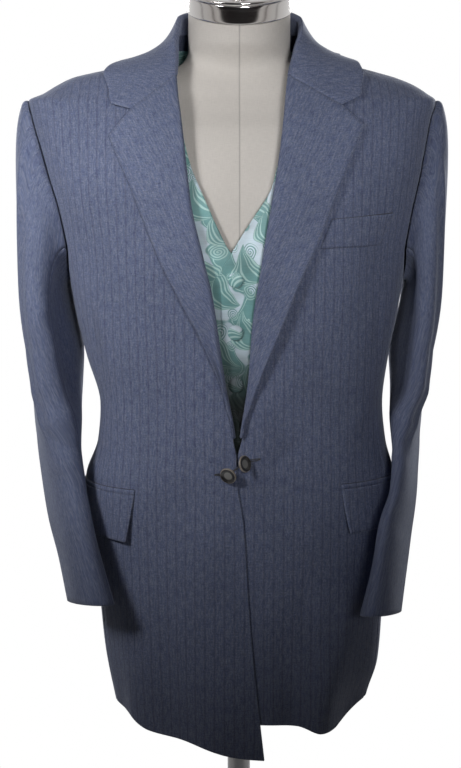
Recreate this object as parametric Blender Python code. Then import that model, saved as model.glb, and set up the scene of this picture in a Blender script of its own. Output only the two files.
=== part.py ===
"""Saddle seat suit: coat and waistcoat, standing on a limbless dress form.

Metres, +Z up, the front faces -Y and the wearer's left is +X. The origin is the middle of the
underside of the base, on the floor. The coat is drawn on one smooth body surface, which is read
from level rings; every piece that lies on it is made from its points, moved out.
"""
import math

import bmesh
import bpy
import numpy as np

for old in list(bpy.data.objects):
    bpy.data.objects.remove(old, do_unlink=True)

# Cloth
COAT_WALL = 0.0018
LAPEL_WALL = 0.0018
VEST_WALL = 0.0014
SEAM_GAP = 0.0003
VEST_INSET = 0.0095

# Rows and columns of the panels
SKIRT_ROWS = 14
ARMHOLE_STEPS = 8
SIDE_STEPS = 4
FRONT_COLUMNS = 11
BACK_COLUMNS = 9
BACK_NECK_STEPS = 5
BACK_SETTLING = 18

# Coat lengths and heights
ROLL_START_Z = 1.012
NECK_POINT_Z = 1.475
BACK_NECK_Z = 1.482
SHOULDER_Z = 1.398
ARMPIT_Z = 1.202
OVERLAP_LIFT = 0.0027
ROLL_SET_BACK = 0.0032
ROLL_HEIGHT = 0.0060
LAPEL_EDGE_HEIGHT = 0.0056

# Buttons
LINK_BUTTON_RADIUS = 0.0102
LINK_BUTTON_THICK = 0.0042
VEST_BUTTON_RADIUS = 0.0092
VEST_BUTTON_THICK = 0.0042
VEST_BUTTON_COUNT = 5
VEST_TOP_BUTTON_Z = 1.195
VEST_BUTTON_PITCH = 0.0615
VEST_BUTTON_X = -0.0045
VEST_NECK_Z = 1.462
VEST_TIP_Z = 1.430
VEST_SIDE_Z = 1.165
LINK_RADIUS = 0.0011
LINK_RIGHT = (-0.0116, 0.9697, (-0.38, -0.85, -0.36), 0.0100)
LINK_LEFT = (0.0047, 0.9820, (0.74, -0.62, 0.25), 0.0100)

# Lapels, collar and sleeves
LAPEL_ROWS = 15
LAPEL_START = 0.14
ROLL_CLEAR = 0.0030
ROLL_SECTION = ((0.0, -0.0006), (-0.0006, 0.0020), (0.0015, 0.0050))
COLLAR_ROWS = 9
COLLAR_FALL = 2.2
COLLAR_LIFT = 0.0029
COLLAR_SEAM_INSET = 0.0010
COLLAR_FOLD = 0.0052
COLLAR_STAND_INSET = 0.0056
RIGHT_CUFF_Z = 0.811
LEFT_CUFF_Z = 0.801
SLEEVE_HEAD_LOW = 0.030
SLEEVE_HEAD_HIGH = 0.060
SLEEVE_DROP = 1.3
ARMHOLE_GAP = 0.0012
GORGE_GAP = 0.0006

# Pockets
FLAP_COLUMNS = 7
FLAP_ROWS = 3
FLAP_WALL = 0.0018
FLAP_TOP_HEIGHT = 0.0024
FLAP_STAND = 0.0030
JET_GAP = 0.0006
JET_WIDTH = 0.0055
JET_HEIGHT = 0.0018
JET_WALL = 0.0014
WELT_HEIGHT = 0.0018
WELT_WALL = 0.0014

# Dress form and stand
FORM_INSET = 0.0185
FORM_BOTTOM_Z = 0.860
NECK_RADIUS = 0.0605
NECK_TOP_Z = 1.5035
FORM_COLUMNS = 26
FORM_SHOULDER_DROP = 0.014
FORM_SHOULDER_HALF = 0.200
FORM_WAIST = 0.002
NECK_TILT = math.radians(18.0)
BAND_HEIGHT = 0.022
BAND_THICK = 0.0025
CAP_THICK = 0.006
KNOB_HEIGHT = 0.050
KNOB_RADIUS = 0.0150
POLE_RADIUS = 0.0140
BASE_RADIUS = 0.175
BASE_THICK = 0.012
SOCKET_RADIUS = 0.028
SOCKET_HEIGHT = 0.045


def smooth(rows):
    """Read a table smoothly: its first column is the key, and no reading overshoots a row."""
    data = np.array(sorted(rows), dtype=float)
    key = data[:, 0]
    value = data[:, 1:]
    step = np.diff(key)[:, None]
    rise = np.diff(value, axis=0) / step
    slope = np.zeros_like(value)
    slope[0] = rise[0]
    slope[-1] = rise[-1]
    before = rise[:-1]
    after = rise[1:]
    same = before * after > 0
    total = np.where(same, before + after, 1.0)
    slope[1:-1] = np.where(same, 2 * before * after / total, 0.0)

    def read(at):
        at = np.clip(np.asarray(at, dtype=float), key[0], key[-1])
        row = np.clip(np.searchsorted(key, at, side="right") - 1, 0, len(key) - 2)
        width = step[row, 0][..., None]
        t = (at[..., None] - key[row][..., None]) / width
        out = (2 * t**3 - 3 * t**2 + 1) * value[row] + (t**3 - 2 * t**2 + t) * width * slope[row]
        out = out + (3 * t**2 - 2 * t**3) * value[row + 1] + (t**3 - t**2) * width * slope[row + 1]
        return [out[..., k] for k in range(out.shape[-1])]

    return read


def ramp(at, low, high):
    """0 at low, 1 at high, soft at both ends."""
    t = np.clip((np.asarray(at, dtype=float) - low) / (high - low), 0.0, 1.0)
    return t * t * (3 - 2 * t)


# Body surface of the coat: half widths to the wearer's right and left, front and back depth,
# squareness of the ring (2 is an ellipse)
COAT_RINGS = smooth([
    # z, right, left, front, back, square
    (0.600, 0.134, 0.134, 0.150, 0.170, 2.30),
    (0.680, 0.150, 0.153, 0.150, 0.167, 2.30),
    (0.720, 0.158, 0.167, 0.148, 0.162, 2.30),
    (0.775, 0.167, 0.174, 0.143, 0.155, 2.30),
    (0.840, 0.178, 0.179, 0.137, 0.147, 2.32),
    (0.900, 0.186, 0.187, 0.131, 0.137, 2.35),
    (0.945, 0.187, 0.188, 0.127, 0.124, 2.35),
    (0.990, 0.173, 0.178, 0.125, 0.109, 2.35),
    (1.036, 0.169, 0.174, 0.123, 0.098, 2.35),
    (1.095, 0.184, 0.182, 0.127, 0.104, 2.35),
    (1.150, 0.197, 0.192, 0.132, 0.114, 2.38),
    (1.220, 0.210, 0.203, 0.138, 0.124, 2.40),
    (1.280, 0.225, 0.214, 0.138, 0.129, 2.40),
    (1.340, 0.240, 0.224, 0.127, 0.126, 2.32),
    (1.375, 0.247, 0.229, 0.112, 0.117, 2.25),
    (1.398, 0.250, 0.234, 0.094, 0.107, 2.15),
    (1.406, 0.233, 0.224, 0.088, 0.103, 2.12),
    (1.416, 0.216, 0.208, 0.080, 0.099, 2.08),
    (1.425, 0.197, 0.186, 0.074, 0.096, 2.05),
    (1.431, 0.172, 0.165, 0.070, 0.094, 2.02),
    (1.436, 0.147, 0.146, 0.067, 0.092, 2.00),
    (1.4405, 0.125, 0.127, 0.065, 0.090, 2.00),
    (1.447, 0.104, 0.108, 0.062, 0.088, 2.00),
    (1.458, 0.088, 0.090, 0.058, 0.084, 2.00),
    (1.472, 0.079, 0.080, 0.053, 0.078, 2.00),
    (1.490, 0.072, 0.072, 0.050, 0.072, 2.00),
    (1.530, 0.066, 0.066, 0.048, 0.066, 2.00),
])

# Soft folds of the coat, as bulges of the body surface
COAT_FOLDS = [
    # angle, half angle, middle z, half height, depth
    (39, 7, 0.640, 0.120, 0.0060),
    (24, 7, 0.640, 0.120, -0.0050),
    (58, 9, 0.640, 0.130, -0.0050),
    (78, 9, 0.650, 0.150, 0.0060),
    (-32, 9, 0.640, 0.130, -0.0050),
    (-52, 9, 0.640, 0.130, 0.0050),
    (-76, 10, 0.650, 0.150, 0.0055),
    (128, 9, 0.640, 0.150, -0.0070),
    (146, 9, 0.640, 0.170, 0.0080),
    (168, 8, 0.640, 0.150, -0.0050),
    (-126, 9, 0.640, 0.150, -0.0060),
    (-144, 9, 0.640, 0.170, 0.0080),
    (-166, 8, 0.640, 0.150, -0.0050),
    (-14, 8, 1.030, 0.030, 0.0035),
    (12, 8, 1.040, 0.030, 0.0030),
    (60, 9, 1.230, 0.060, -0.0035),
    (-60, 9, 1.230, 0.060, -0.0035),
]

# Seams between front and side panel, and between side panel and back, as angles from the front
FRONT_SEAM = smooth([(0.620, 74.0), (0.900, 73.0), (1.030, 72.0), (1.120, 74.0), (ARMPIT_Z, 80.0)])
BACK_SEAM = smooth([(0.620, 107.0), (0.900, 109.0), (1.030, 110.0), (1.120, 108.0), (ARMPIT_Z, 104.0)])

# Armhole: one turn from the shoulder point, over the front, the armpit and the back. The side
# panel takes the shares between the two values
UNDER_ARM = (0.4, 0.6)
ARMHOLE = smooth([
    # turn, angle, z
    (0.00, 90.0, SHOULDER_Z),
    (0.06, 85.0, 1.382),
    (0.13, 81.5, 1.352),
    (0.20, 78.5, 1.312),
    (0.27, 76.0, 1.270),
    (0.34, 76.0, 1.230),
    (0.40, 80.0, 1.202),
    (0.50, 90.0, 1.182),
    (0.60, 104.0, 1.202),
    (0.66, 110.0, 1.230),
    (0.73, 112.5, 1.270),
    (0.80, 110.5, 1.312),
    (0.87, 105.0, 1.352),
    (0.94, 97.5, 1.382),
    (1.00, 90.0, SHOULDER_Z),
])

# Hem height by the angle from the front, the wearer's right negative
RIGHT_HEM = smooth([(-180, 0.670), (-110, 0.672), (-90, 0.672), (-58, 0.668), (-44, 0.655),
                    (-23, 0.649), (-2, 0.635), (11, 0.631), (20, 0.629)])
LEFT_HEM = smooth([(-20, 0.676), (9, 0.674), (27, 0.668), (38, 0.655), (48, 0.654), (56, 0.657),
                   (70, 0.673), (90, 0.680), (110, 0.677), (180, 0.670)])

# Front edge below the closure and roll line above it, as x by height
RIGHT_EDGE = smooth([
    (0.620, 0.0300), (0.678, 0.0235), (0.748, 0.0160), (0.817, 0.0106), (0.903, 0.0053),
    (0.964, -0.0030), (1.000, -0.0040), (1.075, -0.0165), (1.180, -0.0320), (1.220, -0.0416),
    (1.280, -0.0550), (1.363, -0.0655), (1.425, -0.0735), (NECK_POINT_Z, -0.0790),
])
LEFT_EDGE = smooth([
    (0.620, -0.0180), (0.750, -0.0180), (0.900, -0.0140), (0.955, -0.0060), (1.000, -0.0010),
    (1.078, 0.0103), (1.146, 0.0155), (1.214, 0.0253), (1.274, 0.0349), (1.326, 0.0433),
    (1.372, 0.0500), (1.425, 0.0560), (NECK_POINT_Z, 0.0800),
])

# Lapel outlines: outer edge from the closure to the point
RIGHT_LAPEL = smooth([
    # share of the length, x, z
    (0.00, -0.0040, 1.000), (0.12, -0.0120, 1.038), (0.28, -0.0250, 1.087), (0.42, -0.0453, 1.133),
    (0.57, -0.0725, 1.185), (0.71, -0.0985, 1.240), (0.87, -0.1257, 1.307), (1.00, -0.1480, 1.358),
])
LEFT_LAPEL = smooth([
    (0.00, 0.0020, 1.000), (0.12, 0.0110, 1.041), (0.26, 0.0235, 1.083), (0.39, 0.0423, 1.129),
    (0.57, 0.0687, 1.197), (0.71, 0.0919, 1.247), (0.87, 0.1185, 1.313), (1.00, 0.1418, 1.369),
])

# Gorge seam from the roll line to the notch, then the lapel's point and the collar's point
RIGHT_GORGE = {"roll": (-0.0735, 1.425), "notch": (-0.1243, 1.386), "lapel": (-0.1480, 1.358),
               "collar": (-0.1466, 1.392)}
LEFT_GORGE = {"roll": (0.0560, 1.425), "notch": (0.1163, 1.391), "lapel": (0.1418, 1.369),
              "collar": (0.1387, 1.401)}
GORGE_SHARES = (0.0, 0.10, 0.30, 0.54, 0.78, 1.0)

# Collar from the centre back to the gorge: angle and height of the neck seam and of the outer
# edge on the body surface, and how far the roll stands off the neck seam: out, forward and up
COLLAR = smooth([
    # share, seam angle, seam z, edge angle, edge z, out, forward, up
    (0.00, 180.0, 1.482, 180.0, 1.4690, 0.003, 0.000, 0.028),
    (0.25, 140.0, 1.480, 141.0, 1.4600, 0.002, 0.000, 0.026),
    (0.45, 108.0, 1.477, 107.0, 1.4500, -0.001, 0.000, 0.021),
    (0.60, 90.0, NECK_POINT_Z, 90.0, 1.4420, -0.003, 0.002, 0.013),
    (0.75, 70.0, 1.4620, 77.0, 1.4315, 0.000, 0.004, 0.010),
    (0.88, 58.0, 1.4440, 68.0, 1.4150, 0.000, 0.004, 0.009),
    (1.00, 48.0, 1.4250, 61.0, 1.3960, 0.000, 0.000, 0.000),
])

# Sleeves: level sections from the upper arm to the cuff
RIGHT_SLEEVE = smooth([
    # z, centre x, centre y, thin half, deep half, turn, slope of the section
    (1.150, 0.2325, 0.0060, 0.0285, 0.0800, -6, 0.00),
    (1.100, 0.2230, 0.0055, 0.0290, 0.0765, -8, 0.00),
    (1.056, 0.2215, 0.0050, 0.0295, 0.0740, -2, 0.00),
    (1.020, 0.2210, -0.0005, 0.0290, 0.0725, 6, 0.02),
    (0.985, 0.2195, -0.0100, 0.0245, 0.0710, 13, 0.05),
    (0.945, 0.2135, -0.0275, 0.0210, 0.0690, 18, 0.09),
    (0.900, 0.2035, -0.0560, 0.0200, 0.0670, 19, 0.15),
    (0.855, 0.1895, -0.0805, 0.0215, 0.0635, 17, 0.18),
    (RIGHT_CUFF_Z, 0.1760, -0.1060, 0.0240, 0.0610, 17, 0.20),
])
LEFT_SLEEVE = smooth([
    (1.150, 0.2205, 0.0060, 0.0235, 0.0800, 0, 0.00),
    (1.100, 0.2080, 0.0060, 0.0205, 0.0770, -6, 0.00),
    (1.056, 0.2070, 0.0040, 0.0210, 0.0740, -1, 0.00),
    (1.020, 0.2035, -0.0015, 0.0195, 0.0725, 7, 0.02),
    (0.985, 0.2035, -0.0120, 0.0140, 0.0710, 12, 0.05),
    (0.945, 0.1995, -0.0440, 0.0115, 0.0690, 14, 0.10),
    (0.900, 0.1880, -0.0760, 0.0125, 0.0670, 18, 0.15),
    (0.850, 0.1780, -0.0980, 0.0150, 0.0640, 18, 0.18),
    (LEFT_CUFF_Z, 0.1670, -0.1180, 0.0195, 0.0600, 18, 0.20),
])
SLEEVE_SQUARE = 2.3
SLEEVE_TOP_Z = 1.150
CAP_ROWS = 6
SLEEVE_ROWS = 10
FRONT_SLEEVE_SEAM = 7
HIND_SLEEVE_SEAM = 14

# Pockets on the fronts: x and z of the corners as seen from the front
HIP_FLAPS = {
    "right": {"top": (-0.1229, 0.939), "foot": (-0.1276, 0.885), "width": 0.150, "drop": 0.001},
    "left": {"top": (0.1202, 0.946), "foot": (0.1267, 0.895), "width": 0.150, "drop": 0.001},
}
BREAST_WELT = {"low": (0.0920, 1.2315), "low_end": (0.1650, 1.233),
               "high": (0.1050, 1.2637), "high_end": (0.1795, 1.269)}

# Waistcoat edges, as x by height, its hem by angle and its armhole from the side seam up
VEST_RIGHT_EDGE = smooth([
    (0.900, 0.0130), (1.180, 0.0130), (1.205, 0.0080), (1.225, -0.0098), (1.257, -0.0269),
    (1.307, -0.0484), (1.326, -0.0564), (1.363, -0.0657), (1.400, -0.0720), (1.430, -0.0780),
    (1.462, -0.0860),
])
VEST_LEFT_EDGE = smooth([
    (0.900, -0.0215), (1.180, -0.0215), (1.205, -0.0200), (1.225, -0.0098), (1.260, 0.0118),
    (1.280, 0.0254), (1.300, 0.0367), (1.326, 0.0436), (1.363, 0.0540), (1.400, 0.0640),
    (1.430, 0.0740), (1.462, 0.0885),
])
VEST_HEM = smooth([(0, 0.926), (18, 0.908), (50, 0.945), (90, 0.955), (180, 0.960)])
VEST_ARMHOLE = smooth([
    # share, angle in front, angle behind, z
    (0.00, 90.0, 90.0, VEST_SIDE_Z), (0.20, 73.0, 103.0, 1.195), (0.45, 62.0, 111.0, 1.270),
    (0.70, 63.0, 111.0, 1.350), (0.88, 74.0, 103.0, 1.405), (1.00, 90.0, 90.0, 1.430),
])
VEST_LAP = 0.0019
VEST_ROWS = 9
VEST_ARM_ROWS = 6
VEST_COLUMNS = 7
VEST_BACK_SETTLING = 60


def fold_depth(angle, z):
    """Sum of the soft folds at a place of the body surface, angle in radians."""
    degrees = np.degrees(angle)
    total = np.zeros(np.broadcast(degrees, z).shape)
    for middle, half, height, reach, depth in COAT_FOLDS:
        across = (degrees - middle + 180.0) % 360.0 - 180.0
        total = total + depth * np.exp(-(across / half)**2 - ((z - height) / reach)**2)
    return total


def ring_radius(rings, angle, z):
    """Distance of the ring from the middle axis, in the direction of the angle."""
    right, left, front, back, square = rings(z)
    side = np.where(np.sin(angle) > 0, left, right)
    depth = np.where(np.cos(angle) > 0, front, back)
    across = np.abs(np.sin(angle)) / side
    along = np.abs(np.cos(angle)) / depth
    return (across**square + along**square)**(-1.0 / square)


def coat_radius(angle, z):
    return ring_radius(COAT_RINGS, angle, z) + fold_depth(angle, z)


def on_body(angle, z, out=0.0, radius=coat_radius):
    """Points and outward normals of a body surface, moved out along the normals."""
    angle = np.asarray(angle, dtype=float)
    z = np.asarray(z, dtype=float)

    def place(a, h):
        r = radius(a, h)
        return np.stack([r * np.sin(a), -r * np.cos(a), h + 0.0 * a], axis=-1)

    turn = 0.004
    lift = 0.0008
    around = place(angle + turn, z) - place(angle - turn, z)
    upward = place(angle, z + lift) - place(angle, z - lift)
    normal = np.cross(around, upward)
    normal /= np.linalg.norm(normal, axis=-1, keepdims=True)
    return place(angle, z) + normal * np.asarray(out)[..., None], normal


RIDGE_Z = np.concatenate([[0.5, SHOULDER_Z], np.linspace(SHOULDER_Z, 1.53, 45)[1:]])
RIDGE_X = np.mean(COAT_RINGS(RIDGE_Z)[:2], axis=0)
RIDGE_X[0] = RIDGE_X[1]
RIDGE_REACH = 0.5 + np.concatenate([[0.0], np.cumsum(np.hypot(np.diff(RIDGE_Z), np.diff(RIDGE_X)))])


def to_reach(line):
    """Change heights to the length walked up the side and along the shoulder."""
    line = np.array(line, dtype=float)
    line[..., 1] = np.interp(line[..., 1], RIDGE_Z, RIDGE_REACH)
    return line


def to_height(line):
    line = np.array(line, dtype=float)
    line[..., 1] = np.interp(line[..., 1], RIDGE_REACH, RIDGE_Z)
    return line


def front_angle(x, z, rings=COAT_RINGS):
    """Angle at which the front of a ring reaches x."""
    right, left, front, _, square = rings(z)
    side = np.where(x > 0, left, right)
    share = np.clip(np.abs(x) / side, 0.0, 1.0)
    return np.arctan2(x, front * (1 - share**square)**(1 / square))


def blend_edges(left, right, bottom, top, shares=None, settling=0):
    """Angles and heights over a four-sided piece from its edges; rows run from bottom to top.
    In each step of settling, the inner points move to the middle of their neighbours."""
    v = np.linspace(0, 1, len(left))[:, None, None]
    s = np.linspace(0, 1, len(bottom))[None, :, None] if shares is None else shares[None, :, None]
    left = to_reach(left)[:, None, :]
    right = to_reach(right)[:, None, :]
    bottom = to_reach(bottom)[None, :, :]
    top = to_reach(top)[None, :, :]
    corners = (1 - s) * (1 - v) * bottom[:, :1] + s * (1 - v) * bottom[:, -1:]
    corners = corners + (1 - s) * v * top[:, :1] + s * v * top[:, -1:]
    grid = (1 - s) * left + s * right + (1 - v) * bottom + v * top - corners
    for _ in range(settling):
        beside = grid[1:-1, :-2] + grid[1:-1, 2:]
        grid[1:-1, 1:-1] = (beside + grid[:-2, 1:-1] + grid[2:, 1:-1]) / 4
    return to_height(grid)


def draw_in(points, gap, edges="lrbt"):
    """Move the edges of a grid inward, so that a gap stays to the pieces beside it."""
    moved = points.copy()

    def pull(edge, inner):
        step = inner - edge
        return step / np.linalg.norm(step, axis=-1, keepdims=True) * gap

    if "l" in edges:
        moved[:, 0] += pull(points[:, 0], points[:, 1])
    if "r" in edges:
        moved[:, -1] += pull(points[:, -1], points[:, -2])
    if "b" in edges:
        moved[0] += pull(points[0], points[1])
    if "t" in edges:
        moved[-1] += pull(points[-1], points[-2])
    return moved


def grid_normals(points, closed=False):
    """Normals of a grid from its own rows and columns; closed joins the last column to the first."""
    upward = np.gradient(points, axis=0)
    if closed:
        around = np.roll(points, -1, axis=1) - np.roll(points, 1, axis=1)
    else:
        around = np.gradient(points, axis=1)
    normal = np.cross(around, upward)
    return normal / np.linalg.norm(normal, axis=-1, keepdims=True)


def material(name, colour, roughness, metallic=0.0):
    """Principled material, made once for each name."""
    made = bpy.data.materials.get(name)
    if made:
        return made
    made = bpy.data.materials.new(name)
    made.use_nodes = True
    shader = made.node_tree.nodes["Principled BSDF"]
    shader.inputs["Base Color"].default_value = (*colour, 1.0)
    shader.inputs["Roughness"].default_value = roughness
    shader.inputs["Metallic"].default_value = metallic
    return made


def coat_cloth(name):
    return material(name + "_cloth", (0.115, 0.135, 0.175), 0.9)


def vest_cloth(name):
    return material(name + "_cloth", (0.42, 0.66, 0.60), 0.5)


def form_linen(name):
    return material(name + "_linen", (0.72, 0.69, 0.64), 0.9)


def chrome(name):
    return material(name + "_chrome", (0.80, 0.80, 0.80), 0.12, 1.0)


def stand_paint(name):
    return material(name + "_paint", (0.55, 0.55, 0.56), 0.4, 0.6)


def horn(name):
    return material(name + "_horn", (0.035, 0.03, 0.035), 0.35)


def thread(name):
    return material(name + "_thread", (0.04, 0.04, 0.05), 0.8)


def solid(name, mesh, surface):
    """Add a mesh as a named object, shaded smooth up to its sharp edges."""
    data = bpy.data.meshes.new(name)
    bmesh.ops.recalc_face_normals(mesh, faces=mesh.faces)
    mesh.to_mesh(data)
    mesh.free()
    data.shade_smooth()
    data.set_sharp_from_angle(angle=math.radians(40))
    data.materials.append(surface(name))
    item = bpy.data.objects.new(name, data)
    bpy.context.scene.collection.objects.link(item)
    return item


def wall(name, outer, inner, surface):
    """Closed wall between two grids of the same size."""
    rows, columns = outer.shape[:2]
    mesh = bmesh.new()
    out = [[mesh.verts.new(outer[r, c]) for c in range(columns)] for r in range(rows)]
    back = [[mesh.verts.new(inner[r, c]) for c in range(columns)] for r in range(rows)]
    for r in range(rows - 1):
        for c in range(columns - 1):
            mesh.faces.new((out[r][c], out[r][c + 1], out[r + 1][c + 1], out[r + 1][c]))
            mesh.faces.new((back[r][c], back[r + 1][c], back[r + 1][c + 1], back[r][c + 1]))
    for c in range(columns - 1):
        mesh.faces.new((out[0][c + 1], out[0][c], back[0][c], back[0][c + 1]))
        mesh.faces.new((out[-1][c], out[-1][c + 1], back[-1][c + 1], back[-1][c]))
    for r in range(rows - 1):
        mesh.faces.new((out[r][0], out[r + 1][0], back[r + 1][0], back[r][0]))
        mesh.faces.new((out[r + 1][-1], out[r][-1], back[r][-1], back[r + 1][-1]))
    return solid(name, mesh, surface)


def cloth(name, points, normals, thick, surface, edges="lrbt", gap=SEAM_GAP * 0.7):
    """Wall of cloth under a grid of outer points, a seam gap short of its neighbours."""
    outer = draw_in(points, gap, edges)
    return wall(name, outer, outer - normals * thick, surface)


def turned(name, profile, sides, surface, centre=(0, 0, 0), tilt=(0, 0, 0)):
    """Solid of revolution about its own +Z from (radius, height) points; ends on the axis."""
    mesh = bmesh.new()
    rings = []
    for radius, height in profile:
        if radius == 0:
            rings.append([mesh.verts.new((0, 0, height))])
            continue
        turns = [2 * math.pi * k / sides for k in range(sides)]
        rings.append([mesh.verts.new((radius * math.cos(a), radius * math.sin(a), height)) for a in turns])
    for low, high in zip(rings, rings[1:]):
        for k in range(sides):
            n = (k + 1) % sides
            if len(low) == 1:
                mesh.faces.new((low[0], high[n], high[k]))
            elif len(high) == 1:
                mesh.faces.new((low[k], low[n], high[0]))
            else:
                mesh.faces.new((low[k], low[n], high[n], high[k]))
    item = solid(name, mesh, surface)
    item.location = centre
    item.rotation_euler = tilt
    return item


def armhole_turns():
    """Shares of one turn at the armhole's points: those of the front, the side panel and the back."""
    front = np.linspace(0.0, UNDER_ARM[0], ARMHOLE_STEPS + 1)
    under = np.linspace(*UNDER_ARM, SIDE_STEPS + 1)[1:]
    back = np.linspace(UNDER_ARM[1], 1.0, ARMHOLE_STEPS + 1)[1:]
    return np.concatenate([front, under, back])


def armhole_loop(side):
    """Angles and heights of the armhole's points, from the shoulder point over the front."""
    angle, z = ARMHOLE(armhole_turns())
    return np.stack([side * np.radians(angle), z], axis=-1)


def seam_line(side, seam, hem):
    """Angles and heights up a side seam, from the hem to the armhole."""
    foot = side * math.radians(float(seam(0.66)[0]))
    low = float(hem(math.degrees(foot))[0])
    z = np.linspace(low, ARMPIT_Z, SKIRT_ROWS + 1)
    return np.stack([side * np.radians(seam(z)[0]), z], axis=-1)


def climb(foot, top):
    """Heights of the rows of a panel: even to the armpit, then even along the surface."""
    low, high = np.interp([ARMPIT_Z, top], RIDGE_Z, RIDGE_REACH)
    upper = np.interp(np.linspace(low, high, ARMHOLE_STEPS + 1)[1:], RIDGE_REACH, RIDGE_Z)
    return np.concatenate([np.linspace(foot, ARMPIT_Z, SKIRT_ROWS + 1), upper])


def shoulder_seam(side, count, neck=NECK_POINT_Z, tip=SHOULDER_Z):
    """Points along the shoulder from the neck to the sleeve, even along the surface."""
    high, low = np.interp([neck, tip], RIDGE_Z, RIDGE_REACH)
    heights = np.interp(np.linspace(high, low, count), RIDGE_REACH, RIDGE_Z)
    return np.stack([np.full(count, side * math.pi / 2), heights], axis=-1)


def front_lift(angle, z, side):
    """The wearer's right front lies over the left below the closure."""
    if side > 0:
        return 0.0 * z
    x = ring_radius(COAT_RINGS, angle, z) * np.sin(angle)
    return OVERLAP_LIFT * ramp(x, -0.075, -0.028) * (1 - ramp(z, 1.0, 1.05))


def front_grid(side):
    """Angle and height over a front, from its front edge to the side seam and armhole."""
    edge = RIGHT_EDGE if side < 0 else LEFT_EDGE
    hem = RIGHT_HEM if side < 0 else LEFT_HEM
    loop = armhole_loop(side)[:ARMHOLE_STEPS + 1][::-1]
    right = np.concatenate([seam_line(side, FRONT_SEAM, hem), loop[1:]])
    foot_x = float(edge(0.62)[0])
    foot_z = float(hem(math.degrees(float(front_angle(foot_x, 0.64))))[0])
    z = climb(foot_z, NECK_POINT_Z)
    x = edge(z)[0] + side * ROLL_SET_BACK * ramp(z, 0.985, ROLL_START_Z) * (1 - ramp(z, 1.462, 1.475))
    left = np.stack([front_angle(x, z), z], axis=-1)
    left[-1] = (side * math.pi / 2, NECK_POINT_Z)
    angles = np.linspace(left[0, 0], right[0, 0], FRONT_COLUMNS + 1)
    bottom = np.stack([angles, hem(np.degrees(angles))[0]], axis=-1)
    return blend_edges(left, right, bottom, shoulder_seam(side, FRONT_COLUMNS + 1))


def side_grid(side):
    """Angle and height over the side panel under the arm."""
    hem = RIGHT_HEM if side < 0 else LEFT_HEM
    left = seam_line(side, FRONT_SEAM, hem)
    right = seam_line(side, BACK_SEAM, hem)
    angles = np.linspace(left[0, 0], right[0, 0], SIDE_STEPS + 1)
    bottom = np.stack([angles, hem(np.degrees(angles))[0]], axis=-1)
    top = armhole_loop(side)[ARMHOLE_STEPS:ARMHOLE_STEPS + SIDE_STEPS + 1]
    return blend_edges(left, right, bottom, top)


def back_grid(side):
    """Angle and height over a back, from the centre seam to the side seam and armhole."""
    hem = RIGHT_HEM if side < 0 else LEFT_HEM
    loop = armhole_loop(side)[ARMHOLE_STEPS + SIDE_STEPS:]
    right = np.concatenate([seam_line(side, BACK_SEAM, hem), loop[1:]])
    foot_z = float(hem(side * 180.0)[0])
    z = climb(foot_z, BACK_NECK_Z)
    left = np.stack([np.full_like(z, side * math.pi), z], axis=-1)
    angles = np.linspace(left[0, 0], right[0, 0], BACK_COLUMNS + 1)
    bottom = np.stack([angles, hem(np.degrees(angles))[0]], axis=-1)
    neck = np.linspace(0, 1, BACK_NECK_STEPS + 1)
    neck_line = np.stack([side * math.pi * (1 - neck / 2),
                          BACK_NECK_Z + (NECK_POINT_Z - BACK_NECK_Z) * ramp(neck, 0, 1)], axis=-1)
    ridge = shoulder_seam(side, BACK_COLUMNS - BACK_NECK_STEPS + 1)[1:]
    return blend_edges(left, right, bottom, np.concatenate([neck_line, ridge]), settling=BACK_SETTLING)


def coat_panels(side, word):
    """Front, side panel and back of one half of the coat."""
    grid = front_grid(side)
    lift = front_lift(grid[..., 0], grid[..., 1], side)
    points, normals = on_body(grid[..., 0], grid[..., 1], lift)
    cloth("front_" + word, points, normals, COAT_WALL, coat_cloth)
    for name, grid in (("side_panel_", side_grid(side)), ("back_", back_grid(side))):
        points, normals = on_body(grid[..., 0], grid[..., 1])
        cloth(name + word, points, normals, COAT_WALL, coat_cloth)


def gorge_line(gorge, end):
    """Angles and heights along the gorge seam to the notch, then to the named point."""
    roll = np.array(gorge["roll"])
    notch = np.array(gorge["notch"])
    shares = np.array(GORGE_SHARES)[:, None]
    flat = np.concatenate([roll + (notch - roll) * shares, [gorge[end]]])
    return np.stack([front_angle(flat[:, 0], flat[:, 1]), flat[:, 1]], axis=-1)


def gorge_shares(gorge, end):
    """Shares of the whole line at the points of gorge_line."""
    roll, notch, tip = (np.array(gorge[key]) for key in ("roll", "notch", end))
    seam = np.linalg.norm(notch - roll)
    total = seam + np.linalg.norm(tip - notch)
    return np.concatenate([np.array(GORGE_SHARES) * seam / total, [1.0]])


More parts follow.
